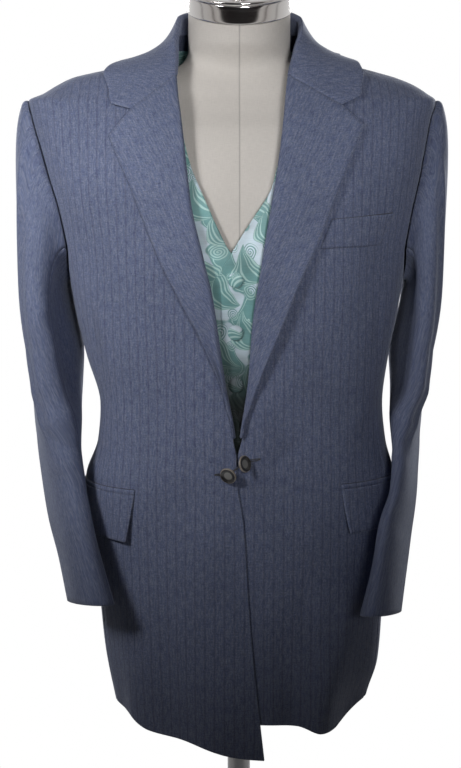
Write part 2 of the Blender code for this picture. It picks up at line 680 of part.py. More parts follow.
def lapel(side, word):
    """Lapel turned back over its front, with a soft roll along the roll line."""
    edge, outline, gorge = ((RIGHT_EDGE, RIGHT_LAPEL, RIGHT_GORGE) if side < 0
                            else (LEFT_EDGE, LEFT_LAPEL, LEFT_GORGE))
    rows = np.linspace(0, 1, LAPEL_ROWS + 1)**0.85
    z = ROLL_START_Z + (gorge["roll"][1] - ROLL_START_Z) * rows
    x = edge(z)[0]
    left = np.stack([front_angle(x, z), z], axis=-1)
    x_out, z_out = outline(LAPEL_START + (1 - LAPEL_START) * rows)
    right = np.stack([front_angle(x_out, z_out), z_out], axis=-1)
    shares = gorge_shares(gorge, "lapel")
    bottom = left[0] + (right[0] - left[0]) * shares[:, None]
    grid = blend_edges(left, right, bottom, gorge_line(gorge, "lapel"), shares)
    push = np.clip((ROLL_CLEAR / np.abs(x_out - x) - shares[1]) / (1 - shares[1]), 0.0, 0.75)
    grid[:, 1:] += (grid[:, -1:] - grid[:, 1:]) * push[:, None, None]
    height = ROLL_HEIGHT + (LAPEL_EDGE_HEIGHT - ROLL_HEIGHT) * ramp(shares, 0.0, 0.5)
    over = OVERLAP_LIFT * (1 - ramp(rows, 0.0, 0.12)) if side < 0 else 0.0 * rows
    points, _ = on_body(grid[..., 0], grid[..., 1], height[None, :] + over[:, None])
    section = np.stack(roll_section(side, x, z, over), axis=1)
    points = np.concatenate([section, points[:, 1:]], axis=1)
    normals = grid_normals(points) * side
    cloth("lapel_" + word, points, normals, LAPEL_WALL, coat_cloth, gap=GORGE_GAP)


def collar_half(side, shares):
    """Grid of one half of the collar, from the centre back to the gorge."""
    front_edge, gorge = (RIGHT_EDGE, RIGHT_GORGE) if side < 0 else (LEFT_EDGE, LEFT_GORGE)
    seam_angle, seam_z, edge_angle, edge_z, out, forward, up = COLLAR(shares)
    end = gorge_line(gorge, "collar")
    on_front = front_angle(front_edge(seam_z)[0] - side * COLLAR_SEAM_INSET, seam_z)
    seam_angle = np.where(seam_z < NECK_POINT_Z, on_front, side * np.radians(seam_angle))
    near = ramp(shares, 0.60, 1.0)
    edge_angle = side * np.radians(edge_angle)
    edge_angle = edge_angle + (end[-1, 0] - edge_angle[-1]) * near
    edge_z = edge_z + (end[-1, 1] - edge_z[-1]) * near
    across = gorge_shares(gorge, "collar")
    left = np.stack([seam_angle, seam_z], axis=-1)
    left[-1] = end[0]
    right = np.stack([edge_angle, edge_z], axis=-1)
    start = left[0] + (right[0] - left[0]) * across[:, None]
    grid = blend_edges(left, right, start, end, across)
    height = LAPEL_EDGE_HEIGHT + (ROLL_HEIGHT - LAPEL_EDGE_HEIGHT) * (1 - ramp(across, 0.0, 0.5))
    lift = COLLAR_LIFT * (1 - ramp(shares, 0.70, 0.95))
    lying, _ = on_body(grid[..., 0], grid[..., 1], height[None, :] + lift[:, None])
    seam, _ = on_body(seam_angle, seam_z, 0 * seam_z)
    ray = np.stack([np.sin(seam_angle), -np.cos(seam_angle), 0 * seam_angle], axis=-1)
    upward = np.array([0.0, 0.0, 1.0])
    roll = seam + ray * out[:, None] + upward * up[:, None]
    roll[:, 1] -= forward
    merge = ramp(shares, 0.80, 1.0)[:, None]
    roll = roll * (1 - merge) + lying[:, 0] * merge
    away = ((1 - across) ** COLLAR_FALL)[None, :, None]
    fall = lying + (roll - lying[:, 0])[:, None, :] * away
    inner = roll - ray * COLLAR_FOLD - upward * COLLAR_FOLD * 0.8
    base, _ = on_body(seam_angle, seam_z, -COLLAR_STAND_INSET + 0 * seam_z)
    stand = np.stack([base, (base + inner) / 2, inner], axis=1)
    points = np.concatenate([stand, fall], axis=1)
    roll_x, roll_z = gorge["roll"]
    ends = roll_section(side, np.array(roll_x), np.array(roll_z))
    finish = np.stack([ends[0], (ends[0] + ends[1]) / 2, ends[1], ends[2]])
    points[:, :4] = points[:, :4] * (1 - merge[:, None]) + finish * merge[:, None]
    return points


def roll_section(side, x, z, over=0.0):
    """Points around the turned edge at the roll line, from inside to the top of the roll."""
    return [on_body(front_angle(x + side * shift, z), z, lift + over)[0] for shift, lift in ROLL_SECTION]


def collar():
    """Collar: a stand round the neck and a fall that lies over the shoulders and the back."""
    shares = np.linspace(0, 1, COLLAR_ROWS + 1)
    right = collar_half(-1, shares)[::-1]
    left = collar_half(1, shares)
    points = np.concatenate([right[:-1], left])
    normals = -grid_normals(points)
    cloth("collar", points, normals, COAT_WALL, coat_cloth, gap=GORGE_GAP)


def sleeve_sections(side):
    """Rings of the sleeve below the upper arm, in the order of the armhole's points."""
    table = RIGHT_SLEEVE if side < 0 else LEFT_SLEEVE
    low = RIGHT_CUFF_Z if side < 0 else LEFT_CUFF_Z
    z = np.linspace(SLEEVE_TOP_Z, low, SLEEVE_ROWS + 1)
    centre_x, centre_y, thin, deep, turn, slope = (column[:, None] for column in table(z))
    turns = 2 * math.pi * armhole_turns()[:-1]
    power = 2 / SLEEVE_SQUARE
    a = thin * np.sign(np.cos(turns)) * np.abs(np.cos(turns))**power
    b = deep * np.sign(np.sin(turns)) * np.abs(np.sin(turns))**power
    angle = np.radians(turn)
    x = side * (centre_x + a * np.cos(angle) - b * np.sin(angle))
    y = centre_y - a * np.sin(angle) - b * np.cos(angle)
    return np.stack([x, y, z[:, None] - slope * (y - centre_y)], axis=-1)


def sleeve_grid(side):
    """Whole sleeve as a closed grid: the head from the armhole, then the arm to the cuff."""
    loop = armhole_loop(side)[:-1]
    start, _ = on_body(loop[:, 0], loop[:, 1])
    arm = sleeve_sections(side)
    end = arm[0]
    share = (start[:, 2] - start[:, 2].min()) / np.ptp(start[:, 2])
    spread = np.stack([side * (SLEEVE_HEAD_LOW + SLEEVE_HEAD_HIGH * share), end[:, 1] - start[:, 1],
                       0 * share], axis=-1)
    drop = np.stack([0 * share, 0 * share, -SLEEVE_DROP * (start[:, 2] - end[:, 2])], axis=-1)
    t = np.linspace(0, 1, CAP_ROWS + 1)[:-1, None, None]
    head = (2 * t**3 - 3 * t**2 + 1) * start + (t**3 - 2 * t**2 + t) * spread
    head = head + (3 * t**2 - 2 * t**3) * end + (t**3 - t**2) * drop
    return np.concatenate([head, arm])


def sleeve(side, word):
    """Upper and under sleeve, cut along the front and the hind seam."""
    points = sleeve_grid(side)
    normals = grid_normals(points, closed=True) * side
    count = points.shape[1]
    pieces = (("sleeve_upper_", HIND_SLEEVE_SEAM - count, FRONT_SLEEVE_SEAM),
              ("sleeve_under_", FRONT_SLEEVE_SEAM, HIND_SLEEVE_SEAM))
    for name, first, last in pieces:
        columns = [k % count for k in range(first, last + 1)]
        part = draw_in(points[:, columns], SEAM_GAP * 0.8, "lr")
        part = draw_in(part, ARMHOLE_GAP, "b")
        wall(name + word, part, part - normals[:, columns] * COAT_WALL, coat_cloth)


def seen_patch(corners, columns, rows):
    """Angles and heights over a small patch given by four corners in the front view."""
    line = {key: np.array(value) for key, value in corners.items()}
    s = np.linspace(0, 1, columns + 1)[None, :, None]
    v = np.linspace(0, 1, rows + 1)[:, None, None]
    low = line["low"] + (line["low_end"] - line["low"]) * s
    high = line["high"] + (line["high_end"] - line["high"]) * s
    flat = low + (high - low) * v
    return np.stack([front_angle(flat[..., 0], flat[..., 1]), flat[..., 1]], axis=-1)


def hip_pocket(side, word):
    """Flap that hangs from a narrow jet across the hip."""
    sizes = HIP_FLAPS[word]
    top_x, top_z = sizes["top"]
    foot_x, foot_z = sizes["foot"]
    start = np.array([float(front_angle(foot_x, foot_z)), float(front_angle(top_x, top_z))])
    middle = float(np.mean(start))
    radius = float(ring_radius(COAT_RINGS, middle + side * 0.5, top_z))
    span = side * sizes["width"] / radius
    s = np.linspace(0, 1, FLAP_COLUMNS + 1)
    v = np.linspace(0, 1, FLAP_ROWS + 1)[:, None]
    angle = start[0] + (start[1] - start[0]) * v + span * s[None, :]
    z = foot_z + (top_z - foot_z) * v - sizes["drop"] * s[None, :]
    stand = FLAP_TOP_HEIGHT + FLAP_STAND * (1 - v) * (1 - 0.9 * s[None, :])
    points, normals = on_body(angle, z, stand)
    cloth("flap_" + word, points, normals, FLAP_WALL, coat_cloth)
    angle = np.stack([angle[-1], angle[-1]])
    z = np.stack([z[-1] + JET_GAP, z[-1] + JET_GAP + JET_WIDTH])
    points, normals = on_body(angle, z, JET_HEIGHT + 0 * z)
    cloth("jet_" + word, points, normals, JET_WALL, coat_cloth, edges="")


def breast_welt():
    """Slanted welt of the breast pocket on the wearer's left front."""
    grid = seen_patch(BREAST_WELT, 6, 2)
    points, normals = on_body(grid[..., 0], grid[..., 1], WELT_HEIGHT + 0 * grid[..., 0])
    cloth("breast_welt", points, normals, WELT_WALL, coat_cloth, edges="")


def vest_radius(angle, z):
    return ring_radius(COAT_RINGS, angle, z)


def vest_rows(foot):
    """Heights of the rows of the waistcoat's middle edge."""
    low, high = np.interp([VEST_SIDE_Z, VEST_NECK_Z], RIDGE_Z, RIDGE_REACH)
    upper = np.interp(np.linspace(low, high, VEST_ARM_ROWS + 1)[1:], RIDGE_REACH, RIDGE_Z)
    return np.concatenate([np.linspace(foot, VEST_SIDE_Z, VEST_ROWS + 1), upper])


def vest_side(side, which):
    """Side seam and armhole of the waistcoat; which is 0 in front and 1 behind."""
    foot = float(VEST_HEM(90)[0])
    z = np.linspace(foot, VEST_SIDE_Z, VEST_ROWS + 1)
    seam = np.stack([np.full_like(z, side * math.pi / 2), z], axis=-1)
    share = np.linspace(0, 1, VEST_ARM_ROWS + 1)[1:]
    columns = VEST_ARMHOLE(share)
    hole = np.stack([side * np.radians(columns[which]), columns[2]], axis=-1)
    return np.concatenate([seam, hole])


def vest(side, word):
    """Waistcoat front and back of one side."""
    edge = VEST_RIGHT_EDGE if side < 0 else VEST_LEFT_EDGE
    foot_x = float(edge(0.92)[0])
    foot_angle = float(front_angle(foot_x, 0.92))
    foot_z = float(VEST_HEM(abs(math.degrees(foot_angle)))[0])
    z = vest_rows(foot_z)
    left = np.stack([front_angle(edge(z)[0], z), z], axis=-1)
    left[-1] = (side * math.pi / 2, VEST_NECK_Z)
    right = vest_side(side, 0)
    angles = np.linspace(left[0, 0], right[0, 0], VEST_COLUMNS + 1)
    bottom = np.stack([angles, VEST_HEM(np.abs(np.degrees(angles)))[0]], axis=-1)
    top = shoulder_seam(side, VEST_COLUMNS + 1, VEST_NECK_Z, VEST_TIP_Z)
    grid = blend_edges(left, right, bottom, top)
    lift = VEST_LAP * (1 - ramp(np.degrees(grid[..., 0]), 12, 22)) if side > 0 else 0 * grid[..., 0]
    points, normals = on_body(grid[..., 0], grid[..., 1], lift - VEST_INSET, vest_radius)
    cloth("vest_front_" + word, points, normals, VEST_WALL, vest_cloth)
    z = vest_rows(float(VEST_HEM(180)[0]))
    left = np.stack([np.full_like(z, side * math.pi), z], axis=-1)
    right = vest_side(side, 1)
    angles = np.linspace(left[0, 0], right[0, 0], VEST_COLUMNS + 1)
    bottom = np.stack([angles, VEST_HEM(np.abs(np.degrees(angles)))[0]], axis=-1)
    neck = np.linspace(0, 1, BACK_NECK_STEPS + 1)
    neck_line = np.stack([side * math.pi * (1 - neck / 2), np.full_like(neck, VEST_NECK_Z)], axis=-1)
    ridge = shoulder_seam(side, VEST_COLUMNS - BACK_NECK_STEPS + 1, VEST_NECK_Z, VEST_TIP_Z)[1:]
    top = np.concatenate([neck_line, ridge])
    grid = blend_edges(left, right, bottom, top, settling=VEST_BACK_SETTLING)
    points, normals = on_body(grid[..., 0], grid[..., 1], -VEST_INSET + 0 * grid[..., 0], vest_radius)
    cloth("vest_back_" + word, points, normals, VEST_WALL, vest_cloth)


def aimed(normal):
    """Rotation that turns +Z to a direction."""
    x, y, z = np.array(normal) / np.linalg.norm(normal)
    return (0.0, math.acos(z), math.atan2(y, x))


def link_button(name, x, z, normal, off):
    """Horn button with a raised rim and a dished face; returns its centre."""
    angle = float(front_angle(x, z))
    spot, _ = on_body(angle, z, off)
    r, t = LINK_BUTTON_RADIUS, LINK_BUTTON_THICK
    profile = [(0, 0), (0.72 * r, 0), (0.97 * r, 0.30 * t), (r, 0.62 * t), (0.94 * r, 0.95 * t),
               (0.82 * r, t), (0.66 * r, 0.66 * t), (0, 0.58 * t)]
    turned(name, profile, 16, horn, tuple(spot), aimed(normal))
    return np.array(spot)


def closure():
    """Two horn buttons linked through both buttonholes."""
    right = link_button("link_button_right", *LINK_RIGHT)
    left = link_button("link_button_left", *LINK_LEFT)
    ends = []
    for spot, place in ((right, LINK_RIGHT), (left, LINK_LEFT)):
        normal = np.array(place[2]) / np.linalg.norm(place[2])
        ends.append(spot - normal * (LINK_RADIUS + SEAM_GAP * 2))
    curve = bpy.data.curves.new("closure_link", "CURVE")
    curve.dimensions = "3D"
    curve.bevel_depth = LINK_RADIUS
    curve.bevel_resolution = 2
    curve.use_fill_caps = True
    line = curve.splines.new("POLY")
    line.points.add(1)
    for point, end in zip(line.points, ends):
        point.co = (*end, 1.0)
    curve.materials.append(thread("closure_link"))
    item = bpy.data.objects.new("closure_link", curve)
    bpy.context.scene.collection.objects.link(item)


def vest_buttons():
    """Cloth-covered buttons down the waistcoat."""
    r, t = VEST_BUTTON_RADIUS, VEST_BUTTON_THICK
    profile = [(0, 0), (0.55 * r, 0), (0.93 * r, 0.16 * t), (r, 0.36 * t), (0.86 * r, 0.72 * t),
               (0.5 * r, 0.94 * t), (0, t)]
    for k in range(VEST_BUTTON_COUNT):
        z = VEST_TOP_BUTTON_Z - k * VEST_BUTTON_PITCH
        angle = float(front_angle(VEST_BUTTON_X, z))
        spot, normal = on_body(angle, z, VEST_LAP + SEAM_GAP - VEST_INSET, vest_radius)
        turned("vest_button_" + str(k + 1), profile, 12, vest_cloth, tuple(spot), aimed(normal))


def form_radius(angle, z):
    """Body of the dress form: inside the coat, with lower and narrower shoulders."""
    drop = FORM_SHOULDER_DROP * ramp(z, 1.30, 1.41)
    body = ring_radius(COAT_RINGS, angle, z + drop) - FORM_INSET - FORM_WAIST * (1 - ramp(z, 1.0, 1.3))
    wide = np.abs(body * np.sin(angle)) / FORM_SHOULDER_HALF
    body = body / (1 + wide**8)**(1 / 8)
    return body + (NECK_RADIUS - body) * ramp(z, 1.425, 1.468)


def dress_form():
    """Limbless torso with a neck, cut level below the hip and aslant at the neck."""
    angles = np.linspace(0, 2 * math.pi, FORM_COLUMNS + 1)[:-1]
    heights = np.concatenate([np.linspace(FORM_BOTTOM_Z, 1.36, 11), np.linspace(1.36, 1.470, 7)[1:]])
    mesh = bmesh.new()
    rings = []
    for z in heights:
        radius = form_radius(angles, z)
        rings.append([mesh.verts.new((r * math.sin(a), -r * math.cos(a), z)) for r, a in zip(radius, angles)])
    top = []
    for a in angles:
        y = -NECK_RADIUS * math.cos(a)
        top.append(mesh.verts.new((NECK_RADIUS * math.sin(a), y, NECK_TOP_Z + y * math.tan(NECK_TILT))))
    rings.append(top)
    for low, high in zip(rings, rings[1:]):
        for k in range(FORM_COLUMNS):
            n = (k + 1) % FORM_COLUMNS
            mesh.faces.new((low[k], low[n], high[n], high[k]))
    for ring, z in ((rings[0], FORM_BOTTOM_Z), (top, NECK_TOP_Z)):
        centre = mesh.verts.new((0, 0, z))
        for k in range(FORM_COLUMNS):
            mesh.faces.new((ring[k], ring[(k + 1) % FORM_COLUMNS], centre))
    solid("form_torso", mesh, form_linen)


def neck_cap():
    """Bright band, disc and knob that close the neck of the form."""
    tilt = (NECK_TILT, 0, 0)
    up = np.array([0.0, -math.sin(NECK_TILT), math.cos(NECK_TILT)])
    foot = np.array([0.0, 0.0, NECK_TOP_Z]) + up * SEAM_GAP
    wide = NECK_RADIUS + BAND_THICK
    band = [(0, 0), (wide - 0.001, 0), (wide, 0.001), (wide, BAND_HEIGHT - 0.001),
            (wide - 0.001, BAND_HEIGHT), (0, BAND_HEIGHT)]
    turned("neck_band", band, 36, chrome, tuple(foot), tilt)
    disc = [(0, 0), (wide + 0.002, 0), (wide + 0.004, 0.002), (wide + 0.004, 0.0045),
            (wide + 0.002, CAP_THICK), (wide - 0.008, CAP_THICK + 0.001), (0, CAP_THICK + 0.003)]
    turned("cap_disc", disc, 36, chrome, tuple(foot + up * (BAND_HEIGHT + SEAM_GAP)), tilt)
    r, h = KNOB_RADIUS, KNOB_HEIGHT
    knob = [(0, 0), (0.95 * r, 0), (r, 0.05 * h), (0.55 * r, 0.16 * h), (0.42 * r, 0.34 * h),
            (0.62 * r, 0.48 * h), (0.98 * r, 0.62 * h), (r, 0.76 * h), (0.7 * r, 0.93 * h), (0, h)]
    seat = foot + up * (BAND_HEIGHT + CAP_THICK + 0.003 + 2 * SEAM_GAP)
    turned("cap_knob", knob, 16, chrome, tuple(seat), tilt)


def stand():
    """Round base, socket and pole under the form."""
    r, t = BASE_RADIUS, BASE_THICK
    base = [(0, 0), (r, 0), (r, 0.5 * t), (r - 0.004, 0.85 * t), (r - 0.012, t), (0, t)]
    turned("stand_base", base, 40, stand_paint)
    socket = [(0, 0), (SOCKET_RADIUS, 0), (SOCKET_RADIUS, 0.006), (0.72 * SOCKET_RADIUS, 0.014),
              (0.62 * SOCKET_RADIUS, SOCKET_HEIGHT), (0, SOCKET_HEIGHT)]
    turned("stand_socket", socket, 24, stand_paint, (0, 0, BASE_THICK + SEAM_GAP))
    foot = BASE_THICK + SOCKET_HEIGHT + 2 * SEAM_GAP
    pole = [(0, 0), (POLE_RADIUS, 0), (POLE_RADIUS, FORM_BOTTOM_Z - SEAM_GAP - foot),
            (0, FORM_BOTTOM_Z - SEAM_GAP - foot)]
    turned("stand_pole", pole, 24, stand_paint, (0, 0, foot))


def main():
    for side, word in ((-1, "right"), (1, "left")):
        coat_panels(side, word)
        lapel(side, word)
        sleeve(side, word)
        hip_pocket(side, word)
        vest(side, word)
    collar()
    breast_welt()
    closure()
    vest_buttons()
    dress_form()
    neck_cap()
    stand()


main()
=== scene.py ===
"""Saddle seat suit on a dress form, dressed for its picture on the solids of the frame.

Metres, +Z up, the front faces -Y and the wearer's left is +X, as in the frame. The same rings,
seams and edges as in the solids are drawn here with more points, and get soft seams, a rolled
lapel, creases, stitches and the weave of the cloth.
"""
import math

import bmesh
import bpy
import numpy as np
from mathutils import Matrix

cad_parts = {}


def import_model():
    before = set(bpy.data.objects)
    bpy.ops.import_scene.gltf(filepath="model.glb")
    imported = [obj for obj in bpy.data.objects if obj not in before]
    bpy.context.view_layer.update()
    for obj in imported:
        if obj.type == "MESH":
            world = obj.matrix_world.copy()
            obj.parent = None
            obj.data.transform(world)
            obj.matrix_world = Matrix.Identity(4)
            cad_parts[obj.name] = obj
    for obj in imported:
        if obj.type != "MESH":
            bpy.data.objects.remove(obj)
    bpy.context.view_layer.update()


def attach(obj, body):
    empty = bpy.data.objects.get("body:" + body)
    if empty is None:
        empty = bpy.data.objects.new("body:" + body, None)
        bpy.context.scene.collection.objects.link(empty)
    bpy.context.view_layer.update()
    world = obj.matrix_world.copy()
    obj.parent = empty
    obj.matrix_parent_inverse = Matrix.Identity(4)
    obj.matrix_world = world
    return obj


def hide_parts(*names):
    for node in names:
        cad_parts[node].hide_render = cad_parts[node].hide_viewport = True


# Meshes: angle beyond which an edge stays sharp, shortest length, and reach of the weld
SHARP_EDGE = math.radians(50)
TINY = 1e-9
WELD_REACH = 0.00001

# Cloth: thickness, gap and dip at the seams, and the bulge of a raw edge as a share of the wall
COAT_WALL = 0.0018
VEST_WALL = 0.0014
SEAM_GAP = 0.0002
SEAM_DIP = 0.0007
SEAM_REACH = 0.0030
SMALLEST_SHEET = 0.010
VEST_INSET = 0.0095
RIM_BULGE = 0.45

# Rows and columns of the panels, rounds of settling, and the extra rows beside an edge
SKIRT_ROWS = 84
ARMHOLE_STEPS = 48
SIDE_STEPS = 24
FRONT_COLUMNS = 66
BACK_COLUMNS = 54
BACK_NECK_STEPS = 30
BACK_SETTLING = 648
END_SHARES = (0.12, 0.30, 0.55)

# Coat lengths and heights; the foot of a front edge is read at one height and laid at another
ROLL_START_Z = 1.012
ROLL_FOOT_Z = 0.985
ROLL_TOP_Z = 1.462
SEAM_FOOT_Z = 0.66
FRONT_FOOT_Z = (0.62, 0.64)
NECK_POINT_Z = 1.475
BACK_NECK_Z = 1.482
SHOULDER_Z = 1.398
ARMPIT_Z = 1.202
OVERLAP_LIFT = 0.0027
OVERLAP_X = (-0.075, -0.028)
OVERLAP_Z = (1.0, 1.05)
ROLL_SET_BACK = 0.0032
ROLL_HEIGHT = 0.0060
LAPEL_EDGE_HEIGHT = 0.0056

# Buttons
LINK_BUTTON_RADIUS = 0.0102
LINK_BUTTON_THICK = 0.0042
VEST_BUTTON_RADIUS = 0.0092
VEST_BUTTON_THICK = 0.0042
VEST_BUTTON_COUNT = 5
VEST_TOP_BUTTON_Z = 1.195
VEST_BUTTON_PITCH = 0.0615
VEST_BUTTON_X = -0.0045
VEST_NECK_Z = 1.462
VEST_TIP_Z = 1.430
VEST_SIDE_Z = 1.165
VEST_FOOT_Z = 0.92
LINK_RADIUS = 0.0011
LINK_STEPS = 14
# x and z of each link button, the way that it faces, and its height over the coat's surface
LINK_RIGHT = (-0.0116, 0.9697, (-0.38, -0.85, -0.36), 0.0100)
LINK_LEFT = (0.0047, 0.9820, (0.74, -0.62, 0.25), 0.0100)

# Turned profiles, as shares of the radius and of the height, and the share of a side that a
# rounded corner takes
LINK_BUTTON_PROFILE = [(0, 0), (0.72, 0), (0.97, 0.30), (1, 0.62), (0.94, 0.95), (0.82, 1),
                       (0.66, 0.66), (0, 0.58)]
VEST_BUTTON_PROFILE = [(0, 0), (0.55, 0), (0.93, 0.16), (1, 0.36), (0.86, 0.72), (0.5, 0.94), (0, 1)]
KNOB_PROFILE = [(0, 0), (0.95, 0), (1, 0.05), (0.55, 0.16), (0.42, 0.34), (0.62, 0.48), (0.98, 0.62),
                (1, 0.76), (0.7, 0.93), (0, 1)]
CORNER_SHARE = 0.4

# Pulls at a waistcoat button: height from it and depth, then their reach, half width and slant
VEST_PULLS = ((0.010, 0.0007), (0.001, -0.0008), (-0.011, 0.0008))
PULL_REACH = 0.030
PULL_HALF = 0.0045
PULL_SLANT = 0.25

# Lapels, collar and sleeves; the roll's section is an outward shift and a height for each point
LAPEL_ROWS = 75
LAPEL_START = 0.14
LAPEL_STEPS = 5
LAPEL_ROW_POWER = 0.85
LAPEL_LAP_ROWS = 0.12
ROLL_CLEAR = 0.0030
ROLL_SECTION = ((0.0, -0.0006), (-0.0006, 0.0020), (0.0015, 0.0050))
COLLAR_ROWS = 54
COLLAR_STEPS = 6
COLLAR_FALL = 2.2
COLLAR_LIFT = 0.0029
COLLAR_SEAM_INSET = 0.0010
COLLAR_FOLD = 0.0052
COLLAR_STAND_INSET = 0.0056
# Shares of the collar over which its edge, its lift and its roll run into the gorge
COLLAR_EDGE_MEETS = (0.60, 1.0)
COLLAR_LIFT_ENDS = (0.70, 0.95)
COLLAR_ROLL_MEETS = (0.80, 1.0)
RIGHT_CUFF_Z = 0.811
LEFT_CUFF_Z = 0.801
SLEEVE_HEAD_LOW = 0.030
SLEEVE_HEAD_HIGH = 0.060
SLEEVE_DROP = 1.3
ARMHOLE_GAP = 0.0006
GORGE_GAP = 0.0005

# Pockets; an edge is its dip and the reach of the dip
FLAP_COLUMNS = 48
FLAP_ROWS = 20
FLAP_WALL = 0.0018
FLAP_TOP_HEIGHT = 0.0024
FLAP_STAND = 0.0030
FLAP_EDGE = (0.0004, 0.0022)
JET_ROWS = 6
JET_GAP = 0.0006
JET_WIDTH = 0.0055
JET_HEIGHT = 0.0018
JET_WALL = 0.0014
WELT_COLUMNS = 48
WELT_ROWS = 16
WELT_HEIGHT = 0.0018
WELT_WALL = 0.0014
WELT_EDGE = (0.0006, 0.0025)

# Dress form and stand; pairs are the heights between which a change is made
FORM_INSET = 0.0185
FORM_BOTTOM_Z = 0.860
NECK_RADIUS = 0.0605
NECK_TOP_Z = 1.5035
FORM_COLUMNS = 120
FORM_SHOULDER_DROP = 0.014
FORM_SHOULDER_HALF = 0.200
FORM_WAIST = 0.002
FORM_WAIST_Z = (1.0, 1.3)
FORM_DROP_Z = (1.30, 1.41)
FORM_NECK_Z = (1.425, 1.468)
FORM_SHOULDER_SQUARE = 8
FORM_ROWS_Z = (1.36, 1.470)
FORM_ROWS = 60
FORM_RIM_ROWS = 8
NECK_TILT = math.radians(18.0)
BAND_HEIGHT = 0.022
BAND_THICK = 0.0025
BAND_ROUND = 0.001
CAP_THICK = 0.006
CAP_CROWN = 0.003
# Edge of the disc: how far out over the band, and height
CAP_EDGE = ((0.002, 0.0), (0.004, 0.002), (0.004, 0.0045), (0.002, CAP_THICK),
            (-0.008, CAP_THICK + 0.001))
KNOB_HEIGHT = 0.050
KNOB_RADIUS = 0.0150
POLE_RADIUS = 0.0140
BASE_RADIUS = 0.175
BASE_THICK = 0.012
# Bevel of the base: how far in, and share of the thickness
BASE_BEVEL = ((0.0, 0.5), (0.004, 0.85), (0.012, 1))
SOCKET_RADIUS = 0.028
SOCKET_HEIGHT = 0.045
# Sides of the socket: share of the radius, and height
SOCKET_SIDES = ((1, 0.0), (1, 0.006), (0.72, 0.014), (0.62, SOCKET_HEIGHT))

# Soft shapes that only the cloth has; a pair is the shares or heights between which one grows
MEAN_RADIUS = 0.160
LAPEL_STAND = 0.0050
LAPEL_STAND_RISE = (0.02, 0.25)
LAPEL_STAND_FALL = (0.40, 0.80)
LAPEL_STAND_POWER = 1.5
FLAP_CORNER = 0.0055
FLAP_CORNER_POWER = 1.6
FLAP_CORNER_FADE = 5
FLAP_STAND_LOSS = 0.9
JET_ROUND = 0.0007
WELT_GAPE = 0.0034
WELT_GAPE_MIDDLE = 0.92
WELT_GAPE_HALF = 0.22
# Painted shadow: a dark line along each pocket mouth, its rise and standoff from the pocket's upper edge
# and its radius
MOUTH_RISE = 0.0006
MOUTH_OUT = 0.0002
MOUTH_RADIUS = 0.00045
HOLE_HALF = 0.0011
HOLE_THREAD = 0.0006
HOLE_STEPS = 60
ROPE_HEIGHT = 0.0014
ROPE_PLACE = 0.007
ROPE_HALF = 0.006
ROPE_Z = (1.24, 1.34)
HEAD_SEAM_DIP = 0.00105
HEAD_SEAM_HALF = 0.0025
SLEEVE_FOLD_END = 0.04
SLEEVE_SETTLING = 14
SETTLED_ROWS = 8
FORM_SEAM_DEPTH = 0.0006
FORM_SEAM_HALF = 0.0012
STITCH_PITCH = 0.0050
STITCH_INSET = 0.0022
STITCH_HALF = 0.0009
STITCH_THICK = 0.00028
STITCH_SIDES = 6
STITCH_AHEAD = 0.2
# Places along a stitch and its thickness there, as shares
STITCH_SHAPE = ((-1.0, 0.15), (-0.75, 0.8), (0.0, 1.0), (0.75, 0.8), (1.0, 0.15))
LAPEL_TOP_STITCHED = 0.62

# Folds along the sleeves: turn from the outer middle over the front, half width, lowest and
# highest place, depth
RIGHT_SLEEVE_FOLDS = [
    (38, 7, 0.98, 1.36, 0.0018),
    (56, 9, 0.98, 1.34, -0.0014),
    (120, 12, 0.86, 1.15, 0.0015),
    (146, 24, 1.02, 1.32, -0.0070),
]
LEFT_SLEEVE_FOLDS = [
    (38, 7, 0.98, 1.34, 0.0018),
    (56, 9, 0.98, 1.32, -0.0016),
    (120, 12, 0.86, 1.15, 0.0015),
    (146, 24, 1.02, 1.32, -0.0070),
]

# Wrinkles across the sleeves: turn, height, slant over a quarter turn, half turn, half height, depth
SLEEVE_WRINKLES = [
    (80, 1.020, 0.020, 45, 0.008, 0.0022),
    (85, 0.996, -0.015, 50, 0.007, -0.0020),
    (75, 0.972, 0.018, 45, 0.008, 0.0022),
    (95, 0.945, -0.020, 40, 0.008, -0.0016),
    (60, 1.060, 0.030, 35, 0.010, 0.0014),
    (250, 0.960, 0.030, 50, 0.012, 0.0016),
    (50, 0.900, 0.030, 30, 0.010, 0.0012),
    (100, 1.150, 0.040, 40, 0.012, 0.0014),
]

# Worked buttonholes: name, x, z, half length, slant and height over the coat's surface
BUTTONHOLES = [
    ("right", -0.0190, 0.9690, 0.0100, 0.06, 0.0030),
    ("left", 0.0140, 0.9850, 0.0100, 0.20, 0.0005),
]

# Cloth patterns, in metres and as linear colours
STRIPE_PITCH = 0.0115
STRIPE_HALF = 0.00050
STRIPE_SOFT = 0.00055
TWILL_PITCH = 0.0011
SUIT_BLUE = (0.104, 0.129, 0.232)
SUIT_GREY = (0.146, 0.164, 0.232)
SUIT_LINE = (0.092, 0.098, 0.168)
SUIT_STRIPE = (0.046, 0.045, 0.094)
VEST_WHITE = (0.58, 0.70, 0.78)
VEST_MINT = (0.150, 0.330, 0.330)
VEST_LINE = (0.42, 0.62, 0.60)
LINEN_COLOUR = (0.60, 0.565, 0.53)
HORN_FACE = (0.15, 0.15, 0.145)
HORN_RING = (0.006, 0.005, 0.006)
HORN_RIM = (0.24, 0.21, 0.18)
CHROME_COLOUR = (0.78, 0.76, 0.75)
STAND_COLOUR = (0.50, 0.50, 0.51)
SHEEN_COLOUR = (0.80, 0.86, 1.0)
FLOOR_COLOUR = (0.80, 0.80, 0.80)
LINK_THREAD = (0.05, 0.05, 0.06)
SUIT_THREAD = (0.085, 0.10, 0.15)
# Painted shadow: colour of the dark line laid along the pocket mouths, where there is only shade
MOUTH_SHADOW_COLOUR = (0.020, 0.020, 0.032)
